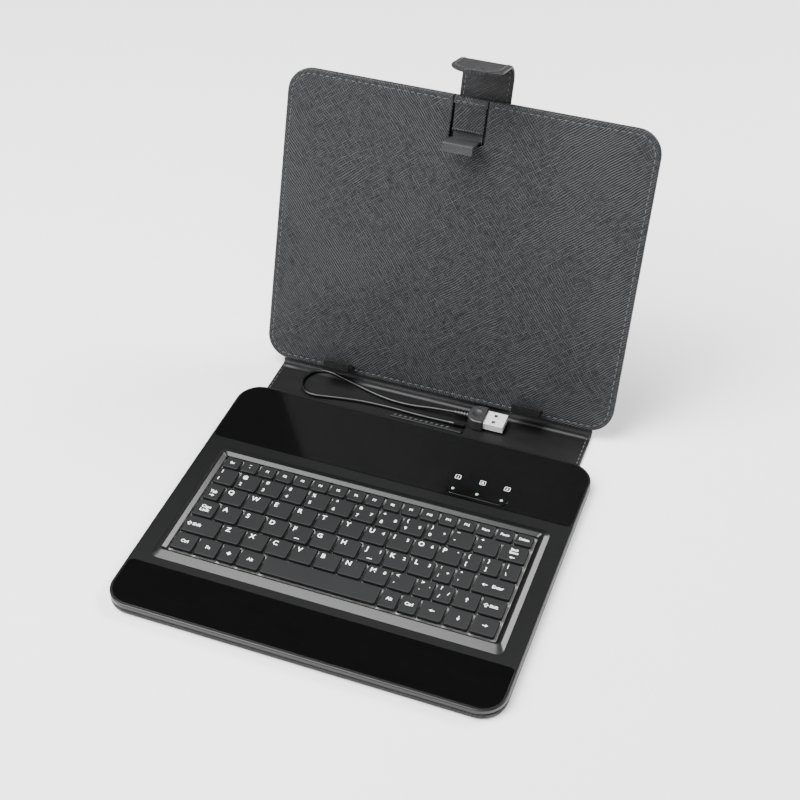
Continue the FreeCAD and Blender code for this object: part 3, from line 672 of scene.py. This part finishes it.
def hinge_curve():
    """Stations that carry the spine round into the foot of the cover."""
    radius = 3.4
    corner_y = COVER_HINGE.y + 0.5 * math.tan(LEAN / 2)
    run = radius * math.tan(LEAN / 2)
    centre = Vector((0, corner_y - run, radius))
    stations = []
    steps = 9
    for k in range(1, steps + 1):
        a = LEAN * k / steps
        normal = Vector((0, -math.sin(a), math.cos(a)))
        thick = 1.7 - 0.6 * k / steps
        stations.append((centre - normal * (radius - thick / 2), normal, SPINE_HALF_W, thick))
    last = stations[-1][0]
    for d in (1.2, 2.4, 3.6, 4.8):
        stations.append((last + UP_PANEL * d, OUT_PANEL, SPINE_HALF_W, 1.1))
    return stations, corner_y - run


def make_spine():
    stations = spine_stations(93.9, SPINE_SEAM_Y, 0.8)
    front = strip("spine_front_fold", stations, ["spine"], spine_lift, spacing=5.0)
    front_fold(front)
    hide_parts("spine_skin", "spine_board")
    curve, curve_y = hinge_curve()
    flat = spine_stations(SPINE_SEAM_Y, curve_y - 0.3, 0.55)
    stations = flat + curve
    rear = strip(
        "spine_rear_fold",
        stations,
        ["spine", "ridge"],
        spine_lift,
        spacing=2.5,
        # Stations on the raised crease take the lighter leather, which paints in the crease's highlight.
        look_of=lambda k: int(stations[k][0].y > RIDGE_Y - 1.8),
    )
    rear_fold(rear)
    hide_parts("spine_lining")

    def sides(bm, places):
        for side in (-1, 1):
            across = side * (SPINE_HALF_W - 2.0)
            stitch_row(bm, [(Vector((across, y, SPINE_STITCH_Z)), UP) for y in places], 3.6)

    bm = bmesh.new()
    sides(bm, (95.6, 104.0, SPINE_SEAM_Y - 0.2))
    stitch_row(bm, [(Vector((x, 97.3, SPINE_STITCH_Z)), UP) for x in (-99.0, 99.0)], 4.0)
    thread_piece("spine_front_stitches", bm, front_fold)
    bm = bmesh.new()
    sides(bm, (SPINE_SEAM_Y + 0.2, 120.0, 125.0))
    thread_piece("spine_rear_stitches", bm, rear_fold)


make_spine()


def make_sleeve():
    """The sewn patch that holds the lead's root down."""
    low, high = node_box("cable_sleeve")
    mid = (low + high) / 2
    stations = []
    for k in range(15):
        y = low.y + (high.y - low.y) * k / 14
        crown = math.sqrt(max(0.0, 1 - (2 * k / 14 - 1) ** 4))
        thick = 0.35 + (high.z - low.z - 0.35) * crown
        half = (high.x - low.x) / 2 - 0.5 + 0.5 * crown
        stations.append((Vector((0, y, low.z + thick / 2)), UP, half, thick))
    patch = strip("lead_sleeve", stations, ["spine"], x_mid=mid.x, spacing=2.0)
    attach(patch, "spine")
    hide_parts("cable_sleeve")
    bm = bmesh.new()
    row = [(Vector((x, mid.y, high.z - 0.1)), UP) for x in (low.x + 1.5, high.x - 8.0)]
    stitch_row(bm, row, 3.4, 0.95, 0.62, 0.5)
    thread_piece("sleeve_stitches", bm, lambda piece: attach(piece, "spine"))


make_sleeve()

# ---- Cover ----------------------------------------------------------------------------------------------
NOTCH_X = (-10.2, 11.2)
NOTCH_V = 164.5
SLOT_X = sum(NOTCH_X) / 2
HOOK_X = 61.6


def lay_on_panel(_, co):
    """The grain's place for a point of the cover, carried on round its edges."""
    away = co - COVER_HINGE
    out = away.dot(OUT_PANEL)
    return co.x + out * 0.7, away.dot(UP_PANEL) + out * 0.7


def cover_outline():
    return rounded_outline(-HALF_W, HALF_W, PANEL_V0, PANEL_V1, CORNER_R, 5.0)


def make_cover_back():
    """The outer leather, turned up round the panel's edges, with a gap in its top wall for the slot."""
    bm = bmesh.new()
    outline = cover_outline()
    top = [k for k, p in enumerate(outline) if p[1] > PANEL_V1 - 0.001 and NOTCH_X[0] < p[0] < NOTCH_X[1]]
    first = top[0]
    for k in reversed(top):
        outline.pop(k)
    left, right = NOTCH_X
    outline[first:first] = [(x, PANEL_V1) for x in (right + 0.03, right, SLOT_X, left, left - 0.03)]
    in_gap = {first + 1, first + 2, first + 3}
    profile = [
        (1.9, BACK_N), (0.9, BACK_N + 0.12), (0.3, BACK_N + 0.5), (0.05, 0.7), (0.0, 1.5), (0.0, 3.0),
        (0.1, 3.4), (0.35, SEAM_N), (1.04, SEAM_N), (1.04, 0.32),
    ]
    place = lambda k, x, v, n: panel(x, v, min(n, 1.0) if k in in_gap else n)
    back, floor = walls(bm, outline, profile, place)
    fill(bm, *back, grid_inside(back[0], 7.0, 3.0), lambda x, v: panel(x, v, BACK_N))
    fill(bm, *floor, [], lambda x, v: panel(x, v, 0.32))
    skin = sharpen(make_piece("cover_back", bm, ["outer"], lay=lay_on_panel), 50)
    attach(skin, "cover")
    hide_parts("cover_skin")


def notched_outline():
    """The lining's outline, which goes down round the slot at the middle of the top edge."""
    xa, xb = NOTCH_X
    outline = [p for p in cover_outline() if p[1] <= PANEL_V1 - 0.001 or not xa - 3 < p[0] < xb + 3]
    first = next(k for k, p in enumerate(outline) if p[1] > PANEL_V1 - 0.001 and p[0] < xa)
    r = 1.6
    path = []
    for cx, cv, start, turn in (
        (xb + r, PANEL_V1 - r, 90, 90), (xb - r, NOTCH_V + r, 0, -90), (xa + r, NOTCH_V + r, 270, -90),
        (xa - r, PANEL_V1 - r, 0, 90),
    ):
        for k in range(6):
            a = math.radians(start + turn * k / 5)
            path.append((cx + r * math.cos(a), cv + r * math.sin(a)))
    outline[first:first] = path
    return divided(outline, 4.0)


STITCH_IN = 3.0


def edge_depth(x, v):
    """How far a point of the lining lies from the panel's outer edge."""
    qx = abs(x) - HALF_W + CORNER_R
    qv = abs(v - (PANEL_V0 + PANEL_V1) / 2) - (PANEL_V1 - PANEL_V0) / 2 + CORNER_R
    return CORNER_R - math.hypot(max(qx, 0), max(qv, 0)) - min(max(qx, qv), 0)


def lining_height(x, v):
    """The lining's face: soft waves, the sewn groove round the edge, and the plates that show through it."""
    depth = edge_depth(x, v)
    h = FACE_N - 0.02
    h -= 0.22 * hump(STITCH_IN, 0.8, depth)
    inner = soft_step(4.0, 12.0, depth)
    h += inner * 0.09 * math.sin(x * 0.052 + 0.6) * math.sin(v * 0.047 + 0.9)
    h += inner * 0.04 * math.sin(x * 0.17 + v * 0.11)
    plate = soft_step(112, 120, v) * soft_step(NOTCH_V, NOTCH_V - 3, v)
    h += 0.16 * soft_step(13.5, 10.5, abs(x - SLOT_X)) * plate
    for side in (-1, 1):
        near = abs(x - side * HOOK_X)
        h += 0.3 * soft_step(10.4, 8.0, near) * soft_step(25.2, 22.8, v) * soft_step(9.0, 11.5, v)
    return h - 0.12


def make_cover_lining():
    bm = bmesh.new()
    outline = notched_outline()
    profile = [
        (0.9, SEAM_N - 0.08), (0.2, SEAM_N + 0.03), (0.04, SEAM_N + 0.2), (0.16, 4.08), (0.5, 4.3),
        (1.1, 4.38),
    ]
    under, face = walls(bm, outline, profile, lambda k, x, v, n: panel(x, v, n))
    extra = grid_inside(outline, 4.0, 4.6)
    plain = cover_outline()
    for depth in (2.0, 2.5, 3.0, 3.5, 4.1):
        extra += [p for p in divided(moved_in(plain, depth), 2.5) if is_inside(moved_in(outline, 1.6), *p)]
    for side in (-1, 1):
        for i in range(22):
            for j in range(18):
                extra.append((side * HOOK_X - 11 + i * 1.05, 8.8 + j * 1.0))
    fill(bm, *under, [], lambda x, v: panel(x, v, SEAM_N - 0.08))
    fill(bm, *face, extra, lambda x, v: panel(x, v, lining_height(x, v)))
    lining = sharpen(make_piece("cover_lining_face", bm, ["lining"], lay=lay_on_panel), 60)
    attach(lining, "cover")
    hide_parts("cover_lining")

    bm = bmesh.new()
    inset = divided(moved_in(plain, STITCH_IN), 2.0)
    top = PANEL_V1 - STITCH_IN - 0.1
    start = next(k for k, p in enumerate(inset) if p[1] > top and p[0] < NOTCH_X[0] - 2)
    inset = inset[start:] + inset[:start]
    row = []
    for x, v in inset:
        if v > 170 and NOTCH_X[0] - 2 < x < NOTCH_X[1] + 2:
            continue
        row.append((panel(x, v, lining_height(x, v) + 0.08), OUT_PANEL))
    stitch_row(bm, row, 4.1, 0.62, 0.66)
    thread_piece("cover_stitches", bm, lambda piece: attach(piece, "cover"))


make_cover_back()
make_cover_lining()


def panel_strip(name, half, v0, v1, n, thick, look, steps, bow=0.0):
    """A strip along the middle of the slot, from v0 up to v1, at height n."""
    stations = []
    for k in range(steps + 1):
        t = k / steps
        lift = bow * math.sin(t * math.pi)
        stations.append((panel(0, v0 + (v1 - v0) * t, n + lift), OUT_PANEL, half, thick))
    return strip(name, stations, [look], x_mid=SLOT_X, spacing=3.0)


def make_slot_parts():
    floor = panel_strip("slot_lining", 10.55, NOTCH_V - 30, PANEL_V1 - 0.5, 1.06, 0.14, "outer", 8)
    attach(floor, "cover")

    stations = []
    for k in range(25):
        t = k / 24
        v = 187.0 - 15.4 * t
        sag = 0.12 * math.sin(t * math.pi * 2.2)
        stations.append((panel(0, v, 3.25 + sag), OUT_PANEL, 9.5, 0.8))
    for k in range(1, 10):
        a = math.pi * 1.55 * k / 9
        centre = panel(0, 171.4, 3.65)
        out = UP_PANEL * -math.sin(a) - OUT_PANEL * math.cos(a)
        stations.append((centre + out * 0.55, -out, 9.5, 0.7))
    flap = strip("clip_cover_flap", stations, ["flap"], x_mid=SLOT_X, spacing=2.0)

    def moves(piece):
        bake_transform(piece)

    moves(flap)
    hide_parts("clip_flap")
    hem = panel_strip("slot_hem", 10.4, 186.3, PANEL_V1 - 0.2, 3.55, 1.5, "lining", 8, 0.12)
    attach(hem, "cover")
    bm = bmesh.new()
    stitch_row(bm, [(panel(x, PANEL_V1 - STITCH_IN, 4.34), OUT_PANEL) for x in (-8.8, 9.8)], 4.1, 0.62, 0.66)
    thread_piece("slot_hem_stitches", bm, lambda piece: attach(piece, "cover"))

    band = panel_strip("clip_spring_band", 7.0, 118.3, 147.7, 1.75, 0.8, "elastic", 20)
    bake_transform(band)
    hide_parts("clip_elastic")


make_slot_parts()

# ---- Strap ----------------------------------------------------------------------------------------------
STRAP_X = 7.0
STRAP_HALF = 15.5
STRAP_N = -1.5
STRAP_ROOT = 196.1
STRAP_BEND = 213.0
STRAP_END = 37.0
TAB_CORNER = 13.0
EDGE_IN = 2.5
CURL = math.radians(92)
CURL_R = 10.0
CURL_RUN = CURL_R * math.tan(CURL / 2)


def strap_at(s):
    """The strap's centre line and inner normal, s from the corner of its curl."""
    corner = panel(0, STRAP_BEND, STRAP_N)
    if s <= -CURL_RUN:
        return corner + UP_PANEL * s, OUT_PANEL
    a = CURL * min(1.0, (s + CURL_RUN) / (2 * CURL_RUN))
    heading = UP_PANEL * math.cos(a) + OUT_PANEL * math.sin(a)
    normal = OUT_PANEL * math.cos(a) - UP_PANEL * math.sin(a)
    start = corner - UP_PANEL * CURL_RUN + OUT_PANEL * CURL_R
    return start - normal * CURL_R + heading * max(0.0, s - CURL_RUN), normal


def strap_half(s):
    over = s - (STRAP_END - TAB_CORNER)
    return STRAP_HALF - TAB_CORNER + math.sqrt(max(0.0, TAB_CORNER**2 - max(0.0, over) ** 2))


def strap_lift(x, at):
    return -0.14 * hump(STRAP_HALF - EDGE_IN, 0.8, abs(x - STRAP_X))


def strap_piece(name, places, stitch_path, moves, nodes):
    stations = [(*strap_at(s), max(strap_half(s), 1.2), 1.9) for s in places]
    piece = strip(name, stations, ["outer"], strap_lift, STRAP_X, 3.0)
    moves(piece)
    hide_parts(*nodes)
    bm = bmesh.new()
    for side in (1, -1):
        for part in stitch_path:
            row = []
            for x, s in part:
                centre, normal = strap_at(s)
                row.append((centre + Vector((STRAP_X + x, 0, 0)) + normal * side * 0.93, normal * side))
            stitch_row(bm, row, 3.3, 0.55, 0.66)
    thread_piece(name + "_stitches", bm, moves)


def evenly(a, b, step):
    count = max(1, round((b - a) / step))
    return [a + (b - a) * k / count for k in range(count + 1)]


def sine_steps(start, length, step):
    """Places along the rounded end of a flap, closer together towards its tip."""
    return [start + length * math.sin(math.radians(a)) for a in range(step, 88, step)]


def hem_path(half, corner, edge_in, start, foot, step):
    """The seam down one side of a flap, round its two corners and up the other side: (across, along)."""
    side = evenly(start, foot, step)
    r = corner - edge_in
    arc = [(math.cos(math.radians(a)), math.sin(math.radians(a))) for a in range(0, 91, 9)]
    path = [(-(half - edge_in), d) for d in side]
    path += [(-(half - corner) - r * c, foot + r * s) for c, s in arc]
    path += [(half - corner + r * c, foot + r * s) for c, s in arc[::-1]]
    return path + [(half - edge_in, d) for d in side[::-1]]


def make_strap():
    seam_a = 204.0 - STRAP_BEND
    seam_b = 11.5
    inset = STRAP_HALF - EDGE_IN

    def point(s):
        return tuple(strap_at(s)[0] * MM)

    root = STRAP_ROOT - STRAP_BEND
    strap_piece(
        "strap_lower",
        evenly(150 - STRAP_BEND, root - 4, 4.0)[:-1] + evenly(root - 4, seam_a, 0.9),
        [[(side * inset, s) for s in evenly(-61.0, seam_a - 0.3, 2.0)] for side in (-1, 1)],
        lambda piece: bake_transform(piece),
        ["strap_anchor", "strap_riser"],
    )
    strap_piece(
        "strap_upper",
        evenly(seam_a, seam_b, 0.7),
        [[(side * inset, s) for s in evenly(seam_a + 0.3, seam_b - 0.3, 0.7)] for side in (-1, 1)],
        lambda piece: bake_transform(piece),
        ["strap_neck"],
    )
    foot = STRAP_END - TAB_CORNER
    strap_piece(
        "strap_tab_leather",
        evenly(seam_b, foot, 0.8) + sine_steps(foot, TAB_CORNER, 6) + [STRAP_END - 0.02],
        [hem_path(STRAP_HALF, TAB_CORNER, EDGE_IN, seam_b + 0.3, foot, 1.0)],
        lambda piece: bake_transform(piece),
        ["strap_tab"],
    )


make_strap()

# ---- Stand leaf -----------------------------------------------------------------------------------------
STAND_V = 120.0
STAND_N = -1.8
STAND_HALF = 56.0
STAND_LENGTH = 116.0
LEAF_CORNER = 9.0
LEAF_EDGE_IN = 2.9
STAND_OPEN = math.radians(30.36)
LEAF_DOWN = -UP_PANEL * math.cos(STAND_OPEN) - OUT_PANEL * math.sin(STAND_OPEN)
LEAF_OUT = UP_PANEL * math.sin(STAND_OPEN) - OUT_PANEL * math.cos(STAND_OPEN)


def stand_stations():
    stations = []
    for d in (0.02, 0.3, 0.9, 1.8, 2.9, 4.0, 6.0, 8.0, 9.5):
        half = STAND_HALF - 4.0 + math.sqrt(max(0.0, 16.0 - max(0.0, 4.0 - d) ** 2))
        stations.append((panel(0, STAND_V + 14 - d, -1.0), -OUT_PANEL, half, 1.0))
    hinge = panel(0, STAND_V, STAND_N)
    a, b = panel(0, STAND_V + 4.5, -1.0), hinge + LEAF_DOWN * 3.5
    a1, b1 = a - UP_PANEL * 2.6, b - LEAF_DOWN * 2.6
    for k in range(1, 12):
        t = k / 12
        at = a * (1 - t) ** 3 + a1 * 3 * t * (1 - t) ** 2 + b1 * 3 * t * t * (1 - t) + b * t**3
        normal = (-OUT_PANEL).lerp(LEAF_OUT, soft_step(0, 1, t)).normalized()
        stations.append((at, normal, STAND_HALF, 1.0 + soft_step(0.2, 1, t)))
    foot = STAND_LENGTH - LEAF_CORNER
    for d in evenly(3.5, foot, 5.0) + sine_steps(foot, LEAF_CORNER, 8):
        half = STAND_HALF - LEAF_CORNER + math.sqrt(max(0.0, LEAF_CORNER**2 - max(0.0, d - foot) ** 2))
        stations.append((hinge + LEAF_DOWN * d, LEAF_OUT, half, 2.0))
    stations.append((hinge + LEAF_DOWN * (STAND_LENGTH - 0.02), LEAF_OUT, STAND_HALF - 8.6, 2.0))
    return stations


def make_stand():
    hinge = panel(0, STAND_V, STAND_N)

    def moves(piece):
        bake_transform(piece)

    def lift(x, at):
        return -0.14 * hump(STAND_HALF - LEAF_EDGE_IN, 0.8, abs(x))

    leaf = strip("stand_leather", stand_stations(), ["outer"], lift)
    moves(leaf)
    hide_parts("stand_leaf", "stand_flange", "stand_board")
    bm = bmesh.new()
    path = hem_path(STAND_HALF, LEAF_CORNER, LEAF_EDGE_IN, 6.0, STAND_LENGTH - LEAF_CORNER, 3.0)
    face = hinge + LEAF_OUT * 0.98
    stitch_row(bm, [(face + LEAF_DOWN * d + Vector((x, 0, 0)), LEAF_OUT) for x, d in path], 4.1)
    thread_piece("stand_stitches", bm, moves)
    bm = bmesh.new()
    for v in (STAND_V + 5.2, STAND_V + 11.4):
        stitch_row(bm, [(panel(x, v, -1.52), -OUT_PANEL) for x in (-52.5, 52.5)], 4.1)
    thread_piece("stand_flange_stitches", bm, lambda piece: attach(piece, "cover"))


make_stand()

# ---- Key legends ----------------------------------------------------------------------------------------
LEGEND_Z = KEY_TOP + 0.02
LETTER = 4.4
SMALL = 3.0


def glyphs(text, size, spread=1.0):
    """The outline mesh of a short text, in millimetres, with its lower left corner at the origin."""
    curve = bpy.data.curves.new("legend", "FONT")
    curve.body = text
    curve.size = size
    curve.offset = 0.018 * size
    curve.resolution_u = 3
    curve.space_line = 0.82
    curve.space_character = spread
    holder = bpy.data.objects.new("legend", curve)
    bpy.context.scene.collection.objects.link(holder)
    mesh = bpy.data.meshes.new_from_object(holder.evaluated_get(bpy.context.evaluated_depsgraph_get()))
    bpy.data.objects.remove(holder)
    bpy.data.curves.remove(curve)
    return mesh


def add_text(bm, text, x, y, size, anchor="left", spread=1.0, z=LEGEND_Z):
    """Writes text with its top left, top right, top middle or centre at (x, y)."""
    bpy.context.view_layer.update()
    mesh = glyphs(text, size, spread)
    xs = [v.co.x for v in mesh.vertices]
    ys = [v.co.y for v in mesh.vertices]
    slide = {"left": -min(xs), "right": -max(xs)}.get(anchor, -(min(xs) + max(xs)) / 2)
    rise = -(min(ys) + max(ys)) / 2 if anchor == "centre" else -max(ys)
    mesh.transform(Matrix.Translation((x + slide, y + rise, z)))
    bm.from_mesh(mesh)
    bpy.data.meshes.remove(mesh)


def add_shape(bm, points, x, y, turn=0.0, z=LEGEND_Z):
    """A flat polygon centred at (x, y), turned by so many degrees."""
    c, s = math.cos(math.radians(turn)), math.sin(math.radians(turn))
    bm.faces.new([bm.verts.new((x + px * c - py * s, y + px * s + py * c, z)) for px, py in points])


ARROW = [(-1.5, -0.22), (0.25, -0.22), (0.1, -0.95), (1.6, 0), (0.1, 0.95), (0.25, 0.22), (-1.5, 0.22)]
DIAMOND = [(0, -1.35), (1.35, 0), (0, 1.35), (-1.35, 0)]


def hollow_arrow(bm, x, y):
    """The outline of a broad arrow that points up."""
    outer = [(-0.6, -1.3), (0.6, -1.3), (0.6, 0.0), (1.5, 0.0), (0, 1.6), (-1.5, 0.0), (-0.6, 0.0)]
    inner = [(-0.3, -1.0), (0.3, -1.0), (0.3, 0.3), (0.85, 0.3), (0, 1.15), (-0.85, 0.3), (-0.3, 0.3)]
    low = [bm.verts.new((x + a, y + b, LEGEND_Z)) for a, b in outer]
    high = [bm.verts.new((x + a, y + b, LEGEND_Z)) for a, b in inner]
    bridge(bm, low, high)


def key_tops(name):
    """The box of each key in a node, back row first and left to right."""
    bm = bmesh.new()
    bm.from_mesh(frame["nodes"][name].data)
    bmesh.ops.remove_doubles(bm, verts=bm.verts, dist=0.000002)
    left = set(bm.verts)
    boxes = []
    while left:
        group = {left.pop()}
        edge = list(group)
        while edge:
            v = edge.pop()
            for e in v.link_edges:
                other = e.other_vert(v)
                if other in left:
                    left.remove(other)
                    group.add(other)
                    edge.append(other)
        xs = [v.co.x / MM for v in group]
        ys = [v.co.y / MM for v in group]
        boxes.append((min(xs), max(xs), min(ys), max(ys)))
    bm.free()
    return sorted(boxes, key=lambda b: (-round(b[2]), b[0]))


def legend_letter(bm, box, main, alt=""):
    x0, x1, _, y1 = box
    add_text(bm, main, x0 + 2.3, y1 - 2.0, LETTER)
    if alt:
        add_text(bm, alt, x1 - 2.3, y1 - 2.6, SMALL, "right")


def legend_pair(bm, box, low, high, alt=""):
    x0, x1, y0, y1 = box
    add_text(bm, high, x0 + 2.4, y1 - 1.7, SMALL + 0.2)
    add_text(bm, low, x0 + 2.4, y0 + 4.9, SMALL + 0.2)
    if alt:
        add_text(bm, alt, x1 - 2.2, y1 - 4.8, SMALL, "right")


def legend_words(bm, box, text, size=SMALL):
    x0, x1, y0, y1 = box
    lines = text.split("|")
    top = (y0 + y1) / 2 + len(lines) * size * 0.4
    for k, line in enumerate(lines):
        add_text(bm, line, (x0 + x1) / 2, top - k * size * 0.92, size, "middle", 0.95)


def legend_row(bm, boxes, row):
    """Prints one row. A key is its letter and a corner mark, or ~ with its low, high and corner marks."""
    for box, marks in zip(boxes, row.split()):
        if marks[0] == "~":
            legend_pair(bm, box, marks[1], marks[2], marks[3:])
        else:
            legend_letter(bm, box, marks[0], marks[1:])


LETTER_ROWS = {
    "top_letter_keys": "Q W E R T Y U4 I5 O6 P- ~[{ ~]} ~\\|",
    "home_letter_keys": "A S D F G H J1 K2 L3 ~;:+ ~'\"",
    "bottom_letter_keys": "Z X C V B N M0 ~,< ~.>. ~/?/",
    "number_row_keys": "~1! ~2@ ~3# ~4$ ~5% ~6^ ~7&7 ~8*8 ~9(9 ~0)* ~-_ ~=+",
}
WORD_KEYS = {
    "escape_key": ["Esc"],
    "delete_key": ["Delete"],
    "tab_key": ["Tab"],
    "caps_lock_key": ["Caps|Lock"],
    "right_modifier_keys": ["Alt", "Ctrl"],
}


def finish_legend(name, bm):
    bmesh.ops.recalc_face_normals(bm, faces=bm.faces)
    piece = make_piece(name.replace("_keys", "").replace("_key", "") + "_legend", bm, ["legend"], False)
    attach(piece, name)


def make_legends():
    for name, row in LETTER_ROWS.items():
        bm = bmesh.new()
        boxes = key_tops(name)
        legend_row(bm, boxes, row)
        if name == "home_letter_keys":
            for k in (3, 6):
                x0, x1, y0, _ = boxes[k]
                mid = (x0 + x1) / 2
                add_shape(bm, [(-1.5, -0.2), (1.5, -0.2), (1.5, 0.2), (-1.5, 0.2)], mid, y0 + 2.4)
        finish_legend(name, bm)
    for name, words in WORD_KEYS.items():
        bm = bmesh.new()
        small = name in ("escape_key", "delete_key")
        for box, word in zip(key_tops(name), words):
            legend_words(bm, box, word, 2.3 if small else SMALL)
        if name == "tab_key":
            x0, x1, y0, _ = key_tops(name)[0]
            add_shape(bm, ARROW, (x0 + x1) / 2, y0 + 3.4)
        finish_legend(name, bm)
    bm = bmesh.new()
    names = ["~|`"] + ["F%d" % k for k in range(1, 13)] + ["Num", "Pause"]
    for box, word in zip(key_tops("function_row_keys"), names):
        legend_words(bm, box, word, 2.3)
    finish_legend("function_row_keys", bm)

    bm = bmesh.new()
    x0, x1, y0, y1 = key_tops("backspace_key")[0]
    legend_words(bm, (x0, x1, y0 + 3.2, y1), "Back|Space", 2.4)
    add_shape(bm, ARROW, (x0 + x1) / 2, y0 + 2.9, 180)
    finish_legend("backspace_key", bm)
    bm = bmesh.new()
    x0, x1, y0, y1 = key_tops("enter_key")[0]
    add_shape(bm, ARROW, x0 + 6.0, (y0 + y1) / 2, 180)
    legend_words(bm, (x0 + 5.5, x1, y0, y1), "Enter", 3.1)
    finish_legend("enter_key", bm)
    for name in ("left_shift_key", "right_shift_key"):
        bm = bmesh.new()
        x0, x1, y0, y1 = key_tops(name)[0]
        hollow_arrow(bm, x0 + 3.0, (y0 + y1) / 2)
        add_text(bm, "Shift", x0 + 5.0, (y0 + y1) / 2 + 1.15, 2.9 if name.startswith("left") else 2.7)
        finish_legend(name, bm)
    bm = bmesh.new()
    boxes = key_tops("left_modifier_keys")
    for box, word in zip(boxes, ("Ctrl", "Fn", "", "Alt")):
        if word:
            legend_words(bm, box, word, 2.9)
        else:
            add_shape(bm, DIAMOND, (box[0] + box[1]) / 2, (box[2] + box[3]) / 2)
    finish_legend("left_modifier_keys", bm)
    bm = bmesh.new()
    for box, turn in zip(key_tops("arrow_keys"), (90, 180, 270, 0)):
        add_shape(bm, ARROW, (box[0] + box[1]) / 2, (box[2] + box[3]) / 2, turn)
    finish_legend("arrow_keys", bm)


make_legends()


def make_indicator_icons():
    """A small printed square above each indicator, with a mark inside."""
    bm = bmesh.new()
    z = node_box("gloss_strip")[1].z + 0.02
    for x, mark in ((38.8, "1"), (53.9, "A"), (68.8, "")):
        y = 60.0
        outer = rounded_outline(x - 1.7, x + 1.7, y - 1.7, y + 1.7, 0.5, 9, 3)
        inner = moved_in(outer, 0.24)
        low = [bm.verts.new((*p, z)) for p in outer]
        high = [bm.verts.new((*p, z)) for p in inner]
        bridge(bm, low, high)
        if mark:
            add_text(bm, mark, x, y, 2.4, "centre", z=z)
        else:
            add_shape(bm, [(p * 0.6, q * 0.6) for p, q in ARROW], x, y, 270, z)
    piece = make_piece("indicator_icons", bm, ["legend"], False)
    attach(piece, "base")


make_indicator_icons()


# ---- Finer edges on the hard CAD parts ------------------------------------------------------------------
def soften_cad(name, width):
    obj = frame["nodes"][name]
    weld = obj.modifiers.new("weld", "WELD")
    weld.merge_threshold = 0.000002
    bevel = obj.modifiers.new("bevel", "BEVEL")
    bevel.width = width * MM
    bevel.segments = 3
    bevel.limit_method = "ANGLE"
    bevel.angle_limit = math.radians(40)
    bevel.harden_normals = True


for cad_name, edge in (
    ("left_hook", 0.3), ("right_hook", 0.3), ("clip_slider", 0.3), ("plug_body", 0.2), ("plug_shell", 0.1),
    ("cable_boot", 0.2),
):
    soften_cad(cad_name, edge)


# ---- Room -----------------------------------------------------------------------------------------------
def make_room():
    bm = bmesh.new()
    bmesh.ops.create_grid(bm, x_segments=4, y_segments=4, size=4.0)
    mesh = bpy.data.meshes.new("floor")
    bm.to_mesh(mesh)
    bm.free()
    paper = moulded("floor_paper", (0.86, 0.86, 0.86), (0.88, 0.88, 0.88), 0.9, 300.0, 0.00001, 0.1)
    mesh.materials.append(paper)
    floor = bpy.data.objects.new("floor", mesh)
    bpy.context.scene.collection.objects.link(floor)
    floor.location.z = -0.0003
    world = bpy.data.worlds.new("studio")
    bpy.context.scene.world = world
    world.use_nodes = True
    world.node_tree.nodes["Background"].inputs["Color"].default_value = (1, 1, 1, 1)
    world.node_tree.nodes["Background"].inputs["Strength"].default_value = 0.22


def area_light(name, at, aim, size, power):
    data = bpy.data.lights.new(name, "AREA")
    data.shape = "RECTANGLE"
    data.size, data.size_y = size
    data.energy = power
    light = bpy.data.objects.new(name, data)
    bpy.context.scene.collection.objects.link(light)
    light.location = at
    light.rotation_mode = "QUATERNION"
    light.rotation_quaternion = (Vector(aim) - Vector(at)).to_track_quat("-Z", "Y")


make_room()
area_light("key_softbox", (-1.0, -0.7, 1.3), (0, 0.08, 0.05), (1.2, 1.2), 60)
area_light("top_softbox", (-0.4, -0.05, 1.45), (0, 0.0, 0.0), (0.8, 0.8), 42)
area_light("rim_softbox", (0.9, 0.9, 1.1), (0, 0.05, 0.05), (0.9, 0.6), 40)
area_light("front_softbox", (0.35, -1.3, 0.5), (0, -0.05, 0.0), (1.2, 0.35), 8)
